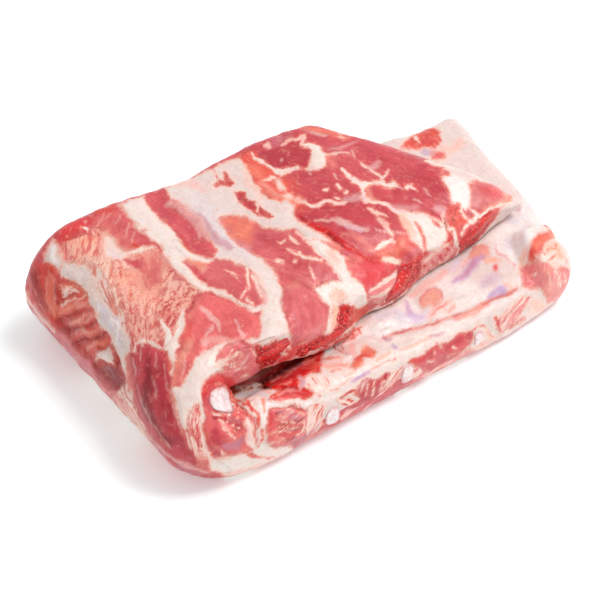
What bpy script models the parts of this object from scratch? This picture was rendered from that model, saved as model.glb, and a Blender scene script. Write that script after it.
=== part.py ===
"""Raw lamb ribs: a slab of breast folded in half, meat side out, with its rib ends at the front.

The slab is one sheet of meat about 22 mm thick. It lies as a U on its side: the lower leaf
rests on the table, the fold is the half round at the left (-X), and the upper leaf comes back
over the lower one. The lower leaf is longer and reaches further forward, so that a strip of its
inner face shows. The ribs run from front to back (along Y) inside the sheet.

Sizes below are in millimetres, measured from the fold's outermost line (x), the lower leaf's
front edge (y) and the table (z). The finished part is in metres, centred on its own box.
"""

import math
from dataclasses import dataclass

import bmesh
import bpy
import numpy as np
from mathutils import Vector
from mathutils.bvhtree import BVHTree

MM = 0.001

# ---- driving dimensions of the folded slab, in millimetres ----
FOLD_HEIGHT = 49.5          # height of the folded slab at its round end
FOLD_CENTRE_X = 25.5        # where the half round meets the flat leaves
TIP_HEIGHT = 41.0           # height of the upper leaf at its free end
CREASE_X = 35.0             # bottom of the crevice between the leaves
CREASE_Z = 27.0
LEAF_GAP = 1.0              # slit between the leaves
CREVICE_RADIUS = 1.6        # the slit widens to this radius at its closed end
MOUTH_OPENING = 7.0         # the crevice gapes this much more at the front
FLOOR_HEIGHT = 22.5         # inner face of the lower leaf
ORIGIN = (109.55, 61.95)    # middle of the finished part's box

# Outlines seen from above: (where, value) pairs along smooth curves.
LOWER_END = [(0, 197), (15, 200), (30, 204.5), (50, 209.5), (80, 214), (105, 219), (125, 222)]
UPPER_END = [(20, 207), (38, 198), (60, 185.5), (94, 164), (118, 147.5), (130, 140.5)]
LOWER_FRONT = [(20, 0.7), (35, -0.7), (60, -0.5), (120, 0), (150, -0.5), (180, -0.8), (210, 2)]
LOWER_BACK = [(20, 124), (60, 124), (120, 121), (165, 115), (190, 112), (203, 113), (214, 115.5),
              (222, 115.5)]
UPPER_FRONT = [(20, 21), (35, 20.5), (48, 19.5), (63, 20), (80, 21.5), (90, 25.5), (102, 25.5),
               (113, 27), (122, 29.5), (141, 32), (156, 34), (171, 37), (186, 39.5), (215, 44)]
UPPER_BACK = [(20, 125), (50, 125), (80, 121.5), (108, 122.5), (130, 123), (145, 123.5), (160, 123),
              (220, 120)]

# How the sheet's front edge is rounded, at stations along the sheet (0 lower free end,
# 1 start of the fold, 2 end of the fold, 3 upper free end).
FRONT_LEVEL = [(0, 0.45), (0.7, 0.45), (1, 0.5), (1.5, 0.35), (1.8, 0.5), (2, 0.8)]
OUTER_ROUND = [(0, 7), (0.7, 7), (1, 9), (1.3, 17), (1.6, 22), (1.85, 20), (2.05, 11),
               (2.18, 9), (2.32, 22), (2.6, 26), (3, 20)]
INNER_ROUND = [(0, 9), (0.5, 8), (0.85, 12), (1, 13), (1.5, 7), (1.8, 4), (2.1, 2.5), (3, 1.8)]
# Height of the sawn face along the upper leaf's front, at x: the meat thins out over the ribs.
SAWN_HEIGHT = [(20, 20), (40, 20), (56, 19.5), (66, 13), (79, 8.5), (89, 15), (100, 10.5),
               (112, 8.5), (122, 16), (136, 13), (150, 10.5), (170, 9.5), (186, 7), (205, 6)]
UPPER_END_ROUND = [(30, 22), (60, 18), (90, 11), (120, 8)]
BACK_ROUND = 8.0
LOWER_END_ROUND = 10.0
BACK_LEVEL = 0.5
END_LEVEL = 0.35
EDGE_POWER = 2.3            # 2 is an ellipse, more is squarer, 1 is a straight bevel
UPPER_SLOPE_POWER = 1.5     # the upper leaf's top slopes down to its sawn face

# Corner radii seen from above.
LOWER_FRONT_CORNER = 13.0
LOWER_BACK_CORNER = 7.0
UPPER_TIP_CORNER = 3.0
UPPER_BACK_CORNER = 3.0

# Mesh density: rows and columns of the sheet's two faces.
FRONT_ROWS = 6
FIELD_ROWS = 14
BACK_ROWS = 4
END_COLUMNS = 5
LEAF_COLUMNS = 20
FOLD_COLUMNS = 14

# ---- ribs ----
RIB_SIDES = 14
RIB_RINGS = 8
RIB_CLEARANCE = 0.35        # gap between bone and meat
RIB_PROUD = 0.7             # the cut ends stand this far out of the meat
RIB_DOME = 0.5              # and their middle this much more
RIB_ENDS_BEYOND = 12.0      # the channels are cut this far past both ends
SECTION_POWER = 0.8         # 1 is an ellipse, less is squarer
DEPTH = 124.0               # front to back

# ---- finishes: colour and roughness ----
FINISHES = {
    "meat": ((0.62, 0.20, 0.18), 0.35),
    "red_bone": ((0.62, 0.06, 0.05), 0.4),
    "cartilage": ((0.86, 0.80, 0.76), 0.35),
}


@dataclass(frozen=True)
class Rib:
    """A rib in the sheet: where its cut end and its far end are, seen from the front."""

    name: str
    front: tuple            # x and z of the cut end's middle
    cut_half: tuple         # half width and half height of the cut end
    tilt: float             # turn of the cut end, in degrees
    back: tuple             # x and z where the shaft leaves the back
    shaft_half: tuple       # half width and half height of the shaft
    taper: float            # the cut end narrows to the shaft over this depth
    slot: str               # finish of the cut end


RIBS = (
    Rib("rib_lower_1", (67.3, 12.6), (3.4, 4.3), 0, (69, 12), (5.5, 3.6), 25, "cartilage"),
    Rib("rib_lower_2", (105.0, 12.8), (3.1, 4.1), 0, (106, 12), (5.5, 3.6), 25, "cartilage"),
    Rib("rib_lower_3", (141.5, 12.4), (2.3, 3.5), 0, (142, 11.5), (5.2, 3.4), 25, "cartilage"),
    Rib("rib_fold", (25.6, 36.2), (5.0, 4.6), 20, (19, 27), (3.8, 5.4), 30, "cartilage"),
    Rib("rib_upper_1", (53.5, 40.8), (7.6, 3.1), 13, (55, 36), (5.8, 3.6), 30, "red_bone"),
    Rib("rib_upper_2", (80.5, 30.4), (9.0, 2.9), 0, (86, 34.5), (5.8, 3.6), 30, "red_bone"),
    Rib("rib_upper_3", (121.0, 32.5), (8.2, 3.0), 27, (119, 33.5), (5.6, 3.5), 30, "red_bone"),
    Rib("rib_upper_4", (167.0, 31.3), (11.5, 2.8), 13, (165, 30.5), (5.4, 3.0), 30, "red_bone"),
)


def smooth(low, high, value):
    """Soft step from 0 at low to 1 at high."""
    share = np.clip((value - low) / (high - low), 0.0, 1.0)
    return share * share * (3.0 - 2.0 * share)


def bell(value, centre, width):
    """Round bump of height 1."""
    return np.exp(-(((value - centre) / width) ** 2))


def curve(value, knots):
    """Smooth curve through a few (where, height) pairs."""
    where = np.array([k[0] for k in knots], float)
    height = np.array([k[1] for k in knots], float)
    slope = np.gradient(height, where)
    value = np.clip(np.asarray(value, float), where[0], where[-1])
    i = np.clip(np.searchsorted(where, value) - 1, 0, len(where) - 2)
    span = where[i + 1] - where[i]
    t = (value - where[i]) / span
    return ((2 * t**3 - 3 * t**2 + 1) * height[i] + (t**3 - 2 * t**2 + t) * span * slope[i]
            + (-2 * t**3 + 3 * t**2) * height[i + 1] + (t**3 - t**2) * span * slope[i + 1])


def rounded(distance, width, power=EDGE_POWER):
    """Edge profile: 0 on the edge, 1 at a distance of width."""
    share = np.clip(distance / width, 0.0, 1.0)
    return (1.0 - (1.0 - share) ** power) ** (1.0 / power)


def corner_cut(distance, radius):
    """How far a round corner pulls an outline in, at a distance from its side."""
    share = np.clip(1.0 - distance / radius, 0.0, 1.0)
    return radius * (1.0 - np.sqrt(1.0 - share * share))


def lower_end(y):
    """Free end of the lower leaf at depth y, with its two round corners."""
    return (curve(y, LOWER_END) - corner_cut(y, LOWER_FRONT_CORNER)
            - corner_cut(115.0 - y, LOWER_BACK_CORNER))


def upper_end(y):
    """Slanted free end of the upper leaf at depth y."""
    return (curve(y, UPPER_END) - corner_cut(y - 37.0, UPPER_TIP_CORNER)
            - corner_cut(123.0 - y, UPPER_BACK_CORNER))


def front_lip(x, y):
    """Height of the thick lip along the lower leaf's front, over the floor."""
    crest = curve(x, [(20, 5), (36, 6), (50, 6), (66, 2.5), (90, -0.5), (130, -1.5), (220, -1.5)])
    width = curve(x, [(20, 17), (65, 18), (101, 18), (112, 14), (130, 10), (165, 6), (220, 5)])
    groove = bell(y, width + 1.5, 2.4) * smooth(40, 75, x) * smooth(215, 170, x)
    return crest * smooth(width + 3.0, width - 5.0, y) - 1.3 * groove


def end_curl(x, y):
    """The lower leaf's front corner, curled up over the inner face."""
    reach = x - lower_end(np.maximum(y, 14.0))
    return 6.5 * smooth(-25, -17, reach) * smooth(33, 24, y) * smooth(8, -8, reach)


def rib_swell(x, y):
    """Low ridges of the inner face over the lower ribs."""
    ridge = sum(bell(x, centre, 9.0) for centre in (67.5, 105.5, 143.0, 181.0))
    return 1.2 * ridge * smooth(8, 24, y)


def floor_height(x, y):
    """Inner face of the lower leaf without its lip and curl."""
    sag = curve(x, [(20, 1.5), (60, 0.5), (120, 0), (180, -1), (222, -3.5)])
    return FLOOR_HEIGHT + sag + rib_swell(x, y)


def leaf_opening(x, y):
    """Height of the slit between the leaves, which gapes at the front near the fold."""
    mouth = bell(x, 50.0, 17.0) * smooth(62, 16, y)
    tip_lift = smooth(170, 205, x)
    return LEAF_GAP + MOUTH_OPENING * mouth + 1.5 * tip_lift


def top_height(x, y):
    """Outer face of the upper leaf."""
    plane = curve(x, [(20, FOLD_HEIGHT), (60, 49), (110, 47.5), (160, 44), (200, TIP_HEIGHT),
                      (215, 39)])
    sag = 1.6 * bell(x, 82.0, 12.0) * smooth(20, 50, y) - 1.4 * bell(x, 125.0, 26.0) * bell(y, 75, 30)
    thin_tip = 5.0 * smooth(165, 205, x) * smooth(60, 35, y)
    return plane - sag - thin_tip


def front_edge(station, x):
    """Foremost line of the sheet at a station: it falls back from the lower to the upper leaf."""
    low, high = curve(x, LOWER_FRONT), curve(x, UPPER_FRONT)
    corner = curve(np.clip(station, 1.0, 2.0), [(1, 0.4), (1.25, 1.8), (1.5, 5.5), (1.75, 13), (2, 21)])
    return np.where(station < 1.0, low, np.where(station > 2.0, high, corner))


def back_edge(station, x):
    """Rearmost line of the sheet at a station."""
    low, high = curve(x, LOWER_BACK), curve(x, UPPER_BACK)
    return low + (high - low) * smooth(1.0, 2.0, station)


def side_hollow(station, y):
    """Depth of the hollow where the fold's outer muscle has pulled back."""
    return 2.2 * smooth(1.42, 1.52, station) * smooth(1.76, 1.68, station) \
        * smooth(40, 52, y) * smooth(114, 100, y)


def faces_at(station, y):
    """Inner and outer point (x and z each) of the sheet at a station and a depth."""
    low_share, high_share = np.clip(1 - station, 0, 1), np.clip(station - 2, 0, 1)
    angle = (np.clip(station, 1.0, 2.0) - 1.5) * math.pi
    end_x = np.where(station < 1.5, lower_end(y), upper_end(y))
    share = np.where(station < 1.5, low_share, high_share)
    in_x = CREASE_X + share * (end_x - CREASE_X) - CREVICE_RADIUS * np.cos(angle)
    out_x = FOLD_CENTRE_X + share * (end_x - FOLD_CENTRE_X)
    radius = FOLD_HEIGHT / 2
    hollow = side_hollow(station, y)
    out_x = out_x - (FOLD_CENTRE_X + 1.6 * bell(station, 1.3, 0.17) - hollow) * np.cos(angle)
    out_z = np.where(station > 2.0, top_height(out_x, y), radius + (radius - hollow) * np.sin(angle))
    out_z = np.where(station < 1.0, 0.0, out_z)
    floor = floor_height(in_x, y)
    low_z = floor + front_lip(in_x, y) + end_curl(in_x, y)
    high_z = floor + leaf_opening(in_x, y)
    turn = (1 + np.sin(angle)) / 2
    near = smooth(CREASE_X + 22, CREASE_X, in_x)
    in_z = low_z + (high_z - low_z) * turn
    in_z = in_z + near * (CREASE_Z - (low_z + high_z) / 2) * smooth(14, 20, y)
    return in_x, in_z, out_x, out_z


def station_columns():
    """Stations of the mesh columns, closer together at the two free ends."""
    ease = 1 - np.cos(np.linspace(0, math.pi / 2, END_COLUMNS + 1))
    low_end = ease * LOWER_END_ROUND / (lower_end(60.0) - FOLD_CENTRE_X)
    high_end = ease * curve(60.0, UPPER_END_ROUND) / (upper_end(60.0) - FOLD_CENTRE_X)
    low = np.linspace(low_end[-1], 1, LEAF_COLUMNS + 1)[1:-1]
    fold = np.linspace(1, 2, FOLD_COLUMNS + 1)
    high = np.linspace(2, 3 - high_end[-1], LEAF_COLUMNS + 1)[1:-1]
    return np.concatenate([low_end, low, fold, high, 3 - high_end[::-1]])


def depth_rows(first, last, front_round, back_round):
    """Depths of the mesh rows from the front edge to the back edge, closer at both edges."""
    front = front_round * (1 - np.cos(np.linspace(0, math.pi / 2, FRONT_ROWS + 1)))
    back = back_round * (1 - np.cos(np.linspace(0, math.pi / 2, BACK_ROWS + 1)))
    field = np.linspace(first + front_round, last - back_round, FIELD_ROWS + 1)
    return np.concatenate([first + front, field[1:-1], last - back[::-1]])


def face_grid(stations, outer):
    """Points of the sheet's outer or inner face, as an array (column, row, xyz)."""
    rounds = OUTER_ROUND if outer else INNER_ROUND
    columns = []
    for station in stations:
        # The edges are looked up at the x of the column's own middle depth.
        middle = faces_at(np.array(station), np.array(60.0))
        x = float(middle[2])
        first, last = float(front_edge(station, x)), float(back_edge(station, x))
        front_round = float(curve(station, rounds))
        y = depth_rows(first, last, front_round, BACK_ROUND)
        in_x, in_z, out_x, out_z = faces_at(np.full_like(y, station), y)
        if station < 1.5:
            end_x, end_round = lower_end(y), LOWER_END_ROUND
        else:
            end_x, end_round = upper_end(y), curve(y, UPPER_END_ROUND)
        from_end = end_x - out_x
        power = EDGE_POWER
        if outer:
            power += (UPPER_SLOPE_POWER - EDGE_POWER) * float(smooth(2.2, 2.35, station))
        front = rounded(y - first, front_round, power)
        back = rounded(last - y, BACK_ROUND)
        end = rounded(from_end, end_round)
        keep = front * back * end
        front_level = float(curve(station, FRONT_LEVEL))
        if station > 2.0:
            sawn = curve(x, SAWN_HEIGHT) / (out_z - in_z)
            front_level += (sawn - front_level) * float(smooth(2.0, 2.1, station))
        level = front_level + (END_LEVEL - front_level) * smooth(end_round, 0, from_end)
        level = level + (BACK_LEVEL - level) * smooth(2 * BACK_ROUND, 0, last - y)
        share = level + (1 - level) * keep if outer else level - level * keep
        x_here = in_x + (out_x - in_x) * share
        z_here = in_z + (out_z - in_z) * share
        columns.append(np.stack([x_here, y, z_here], axis=-1))
    return np.array(columns)


def sheet_mesh():
    """Closed mesh of the folded sheet: an outer and an inner grid that share their border."""
    stations = station_columns()
    outer, inner = face_grid(stations, True), face_grid(stations, False)
    mesh = bmesh.new()
    count, rows = outer.shape[:2]
    verts = [[mesh.verts.new(outer[i, j]) for j in range(rows)] for i in range(count)]
    under = [[verts[i][j] if i in (0, count - 1) or j in (0, rows - 1)
              else mesh.verts.new(inner[i, j]) for j in range(rows)] for i in range(count)]
    for i in range(count - 1):
        for j in range(rows - 1):
            corners = (verts[i][j], verts[i][j + 1], verts[i + 1][j + 1], verts[i + 1][j])
            mesh.faces.new(corners)
            below = (under[i][j], under[i + 1][j], under[i + 1][j + 1], under[i][j + 1])
            mesh.faces.new(below)
    bmesh.ops.recalc_face_normals(mesh, faces=mesh.faces[:])
    bmesh.ops.triangulate(mesh, faces=mesh.faces[:])
    return mesh


def section_point(rib, depth, turn, margin):
    """x and z of a point round a rib's section at a depth behind its cut end."""
    share = float(smooth(3.0, rib.taper, depth))
    half = [cut + (shaft - cut) * share + margin
            for cut, shaft in zip(rib.cut_half, rib.shaft_half)]
    middle = [front + (back - front) * float(smooth(0.0, DEPTH, depth))
              for front, back in zip(rib.front, rib.back)]
    tilt = math.radians(rib.tilt) * (1.0 - share)
    # A superellipse: flatter than an ellipse on its long sides.
    across = half[0] * math.copysign(abs(math.cos(turn)) ** SECTION_POWER, math.cos(turn))
    up = half[1] * math.copysign(abs(math.sin(turn)) ** SECTION_POWER, math.sin(turn))
    return (middle[0] + across * math.cos(tilt) - up * math.sin(tilt),
            middle[1] + across * math.sin(tilt) + up * math.cos(tilt))


def surface_depths(tree, rib, turn):
    """Depths at which a line along a rib's side enters and leaves the meat."""
    x, z = section_point(rib, 0.0, turn, 0.0)
    front = tree.ray_cast(Vector((x, -DEPTH, z)), Vector((0, 1, 0)))[0]
    x, z = section_point(rib, DEPTH, turn, 0.0)
    back = tree.ray_cast(Vector((x, 2 * DEPTH, z)), Vector((0, -1, 0)))[0]
    return front.y, back.y


def rib_mesh(tree, rib, margin, beyond):
    """Closed tube along a rib, cut flush with the meat's surface and domed at both ends."""
    mesh = bmesh.new()
    turns = [2 * math.pi * (k + 0.5) / RIB_SIDES for k in range(RIB_SIDES)]
    ends = [surface_depths(tree, rib, turn) for turn in turns]
    first = min(front for front, back in ends)
    rings = []
    for step in range(RIB_RINGS + 1):
        share = (step / RIB_RINGS) ** 1.5
        ring = []
        for turn, (front, back) in zip(turns, ends):
            y = front - RIB_PROUD + (back - front + 2 * RIB_PROUD) * share
            x, z = section_point(rib, y - first, turn, margin)
            ring.append((x, y, z))
        rings.append(ring)
    if beyond:
        rings.insert(0, [(x, y - beyond, z) for x, y, z in rings[0]])
        rings.append([(x, y + beyond, z) for x, y, z in rings[-1]])
    verts = [[mesh.verts.new(point) for point in ring] for ring in rings]
    for ring, after in zip(verts, verts[1:]):
        for k in range(RIB_SIDES):
            n = (k + 1) % RIB_SIDES
            mesh.faces.new((ring[k], ring[n], after[n], after[k]))
    for ring, dome in ((verts[0], -RIB_DOME), (verts[-1], RIB_DOME)):
        middle = sum((v.co for v in ring), Vector()) / RIB_SIDES + Vector((0, dome, 0))
        hub = mesh.verts.new(middle)
        for k in range(RIB_SIDES):
            mesh.faces.new((ring[k], ring[(k + 1) % RIB_SIDES], hub))
    bmesh.ops.recalc_face_normals(mesh, faces=mesh.faces[:])
    return mesh


def new_material(name, colour, roughness):
    """Principled material of one colour."""
    material = bpy.data.materials.new(name)
    material.use_nodes = True
    shader = material.node_tree.nodes["Principled BSDF"]
    shader.inputs["Base Color"].default_value = (*colour, 1.0)
    shader.inputs["Roughness"].default_value = roughness
    return material


def new_object(name, mesh, material):
    """Object from a mesh drawn in millimetres: metres, centred on the part's own origin."""
    for vert in mesh.verts:
        vert.co = (vert.co - Vector((*ORIGIN, 0.0))) * MM
    data = bpy.data.meshes.new(name)
    mesh.to_mesh(data)
    mesh.free()
    data.materials.append(material)
    data.shade_smooth()
    item = bpy.data.objects.new(name, data)
    bpy.context.scene.collection.objects.link(item)
    return item


def clear_scene():
    """Remove whatever the scene starts with."""
    for old in list(bpy.data.objects):
        bpy.data.objects.remove(old)


def build():
    """Make the sheet of meat with its channels, and the ribs in them."""
    clear_scene()
    finishes = {name: new_material(name, *look) for name, look in FINISHES.items()}
    sheet = sheet_mesh()
    tree = BVHTree.FromBMesh(sheet)
    channels = bmesh.new()
    for rib in RIBS:
        new_object(rib.name, rib_mesh(tree, rib, 0.0, 0.0), finishes[rib.slot])
        cut = bpy.data.meshes.new("channel")
        rib_mesh(tree, rib, RIB_CLEARANCE, RIB_ENDS_BEYOND).to_mesh(cut)
        channels.from_mesh(cut)
        bpy.data.meshes.remove(cut)
    cutter = new_object("rib_channels", channels, finishes["meat"])
    cutter.hide_render = True
    cutter.display_type = "WIRE"
    meat = new_object("rack_meat", sheet, finishes["meat"])
    carve = meat.modifiers.new("rib channels", "BOOLEAN")
    carve.operation = "DIFFERENCE"
    carve.solver = "EXACT"
    carve.object = cutter


if __name__ == "__main__":
    build()
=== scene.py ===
"""Looks of the raw lamb ribs: a folded slab of breast with its rib ends at the front edge.

The slab's main piece repeats the solid's folded sheet at a fine mesh and is then painted: marks
drawn in the photograph's frame are carried onto the sheet as named attributes (fat, muscle tone,
film, fibre), and one material turns those into muscle, fat and membrane. Sizes are millimetres,
measured from the fold's outermost line, the lower leaf's front edge and the table.
"""

import logging
import math
from collections.abc import Sequence
from dataclasses import dataclass, field, replace
from enum import Enum

import bmesh
import bpy
import numpy as np
from mathutils import Matrix, Vector, noise
from mathutils.bvhtree import BVHTree


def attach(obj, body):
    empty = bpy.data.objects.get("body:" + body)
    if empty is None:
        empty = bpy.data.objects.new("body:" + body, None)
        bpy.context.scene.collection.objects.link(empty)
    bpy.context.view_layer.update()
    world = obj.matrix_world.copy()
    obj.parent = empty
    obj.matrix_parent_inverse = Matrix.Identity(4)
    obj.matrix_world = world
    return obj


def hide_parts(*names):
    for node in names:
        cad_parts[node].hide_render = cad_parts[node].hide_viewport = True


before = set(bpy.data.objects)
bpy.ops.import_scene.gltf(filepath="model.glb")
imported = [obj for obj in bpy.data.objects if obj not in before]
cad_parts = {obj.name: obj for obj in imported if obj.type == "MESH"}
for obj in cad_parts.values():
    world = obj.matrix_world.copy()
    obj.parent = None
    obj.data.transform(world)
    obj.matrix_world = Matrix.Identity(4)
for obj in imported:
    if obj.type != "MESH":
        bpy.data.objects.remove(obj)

log = logging.getLogger("lamb_ribs")
Array = np.ndarray
Knots = Sequence[tuple[float, float]]
Colour = tuple[float, float, float]
Step = tuple[float, float, float, float]    # where a ramp starts and ends, and its results there
Socket = bpy.types.NodeSocket

MM = 0.001
ORIGIN = np.array([109.55, 61.95, 0.0])     # middle of the part's box, on the table
PHOTO_SIZE = 591                            # pixels, both ways
SHINE = 0.036                               # light that a wet surface adds to its colour
DARKEST = 0.004                             # least value of a colour's channel
CREASE = 1.45                               # station that parts the lower leaf from the upper
MID_DEPTH = 60.0                            # depth at which the leaves' lengths are taken


# ---------------------------------------------------------------- curves and profiles

def smooth(low: float, high: float, value: Array) -> Array:
    """Soft step from 0 at low to 1 at high."""
    share = np.clip((value - low) / (high - low), 0.0, 1.0)
    return share * share * (3.0 - 2.0 * share)


def bell(value: Array, centre: float, width: float) -> Array:
    """Round bump of height 1."""
    return np.exp(-(((value - centre) / width) ** 2))


def blend(first: Array, second: Array, share: Array) -> Array:
    """Mix of two values: first at share 0 and second at 1."""
    return first + (second - first) * share


def curve(value: Array, knots: Knots) -> Array:
    """Smooth curve through a few (where, height) pairs.

    Args:
        value: Where to read the curve.
        knots: The pairs, in order of where.

    Returns:
        The curve's height at each value.
    """
    where = np.array([k[0] for k in knots], float)
    height = np.array([k[1] for k in knots], float)
    slope = np.gradient(height, where)
    value = np.clip(np.asarray(value, float), where[0], where[-1])
    i = np.clip(np.searchsorted(where, value) - 1, 0, len(where) - 2)
    span = where[i + 1] - where[i]
    t = (value - where[i]) / span
    return ((2 * t**3 - 3 * t**2 + 1) * height[i] + (t**3 - 2 * t**2 + t) * span * slope[i]
            + (-2 * t**3 + 3 * t**2) * height[i + 1] + (t**3 - t**2) * span * slope[i + 1])


def rounded(distance: Array, width: Array, power: Array = 2.3) -> Array:
    """Edge profile: 0 on the edge, 1 at a distance of width."""
    share = np.clip(distance / width, 0.0, 1.0)
    return (1.0 - (1.0 - share) ** power) ** (1.0 / power)


def corner_cut(distance: Array, radius: float) -> Array:
    """How far a round corner pulls an outline in, at a distance from its side."""
    share = np.clip(1.0 - distance / radius, 0.0, 1.0)
    return radius * (1.0 - np.sqrt(1.0 - share * share))


def turbulence(points: Array, size: float, octaves: int = 2, seed: float = 0.0) -> Array:
    """Smooth random value from about -1 to 1 at each point.

    Args:
        points: Positions in millimetres.
        size: Size of the largest lumps, in millimetres.
        octaves: Number of halvings of the size.
        seed: Offset that gives another pattern.

    Returns:
        One value per point.
    """
    shift = Vector((seed * 7.3, seed * 3.1, seed * 5.7))
    scaled = (points / size).tolist()
    values = [noise.fractal(Vector(p) + shift, 1.0, 2.0, octaves) for p in scaled]
    return np.array(values)


def linear(code: str) -> Array:
    """Linear colour of a hexadecimal sRGB code, less what the wet surface's shine adds to it.

    Args:
        code: Six hexadecimal digits.

    Returns:
        Red, green and blue, from 0 to 1.
    """
    srgb = np.array([int(code[i:i + 2], 16) for i in (0, 2, 4)]) / 255.0
    seen = np.where(srgb <= 0.04045, srgb / 12.92, ((srgb + 0.055) / 1.055) ** 2.4)
    return np.clip(seen - SHINE, DARKEST, 1.0) / (1.0 - SHINE)


# ---------------------------------------------------------------- the photograph's frame

@dataclass(frozen=True)
class PhotoFrame:
    """The camera that sees the slab as in the photograph."""

    azimuth: float = -36.0
    elevation: float = 44.5
    field_of_view: float = 15.0
    target: tuple[float, float, float] = (93.887, 60.752, 15.316)
    distance: float = 926.997
    least_facing: float = 0.15      # cosine to the camera that a surface is taken to have

    @property
    def back(self) -> Array:
        """Direction from the slab to the camera."""
        a, e = math.radians(self.azimuth), math.radians(self.elevation)
        return np.array([math.sin(a) * math.cos(e), -math.cos(a) * math.cos(e), math.sin(e)])

    @property
    def right(self) -> Array:
        """The picture's right-hand direction."""
        a = math.radians(self.azimuth)
        return np.array([math.cos(a), math.sin(a), 0.0])

    @property
    def up(self) -> Array:
        """The picture's upward direction."""
        return np.cross(self.back, self.right)

    @property
    def eye(self) -> Array:
        """The camera's place."""
        return np.array(self.target) + self.back * self.distance

    @property
    def focal(self) -> float:
        """Focal length in pixels."""
        return PHOTO_SIZE / 2 / math.tan(math.radians(self.field_of_view / 2))

    def pixels(self, points: Array) -> Array:
        """Where points of the slab lie in the photograph.

        Args:
            points: Positions in millimetres.

        Returns:
            Pixel columns and rows.
        """
        ray = points - self.eye
        depth = -(ray @ self.back)
        across = PHOTO_SIZE / 2 + self.focal * (ray @ self.right) / depth
        down = PHOTO_SIZE / 2 - self.focal * (ray @ self.up) / depth
        return np.stack([across, down], axis=-1)

    def direction_on(self, normal: Array, across: float, down: float) -> Array:
        """Direction in a surface that looks like (across, down) in the photograph.

        Args:
            normal: The surface's normal.
            across: Pixels to the right.
            down: Pixels downwards.

        Returns:
            A unit vector in the surface.
        """
        seen = self.right * across - self.up * down
        depth = -(seen @ normal) / max(float(self.back @ normal), self.least_facing)
        along = seen + self.back * depth
        return along / np.linalg.norm(along)

    @property
    def pixels_per_mm(self) -> float:
        """Pixels that a millimetre takes at the slab."""
        return self.focal / self.distance


# ---------------------------------------------------------------- the folded sheet

@dataclass
class Surface:
    """A mesh in millimetres with what each vertex belongs to."""

    points: Array
    faces: list[tuple[int, ...]]
    station: Array
    row: Array
    outer: Array
    flat: Array                     # where it would lie, were the sheet unfolded
    through: Array                  # direction through the sheet, from its inner face out


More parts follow.
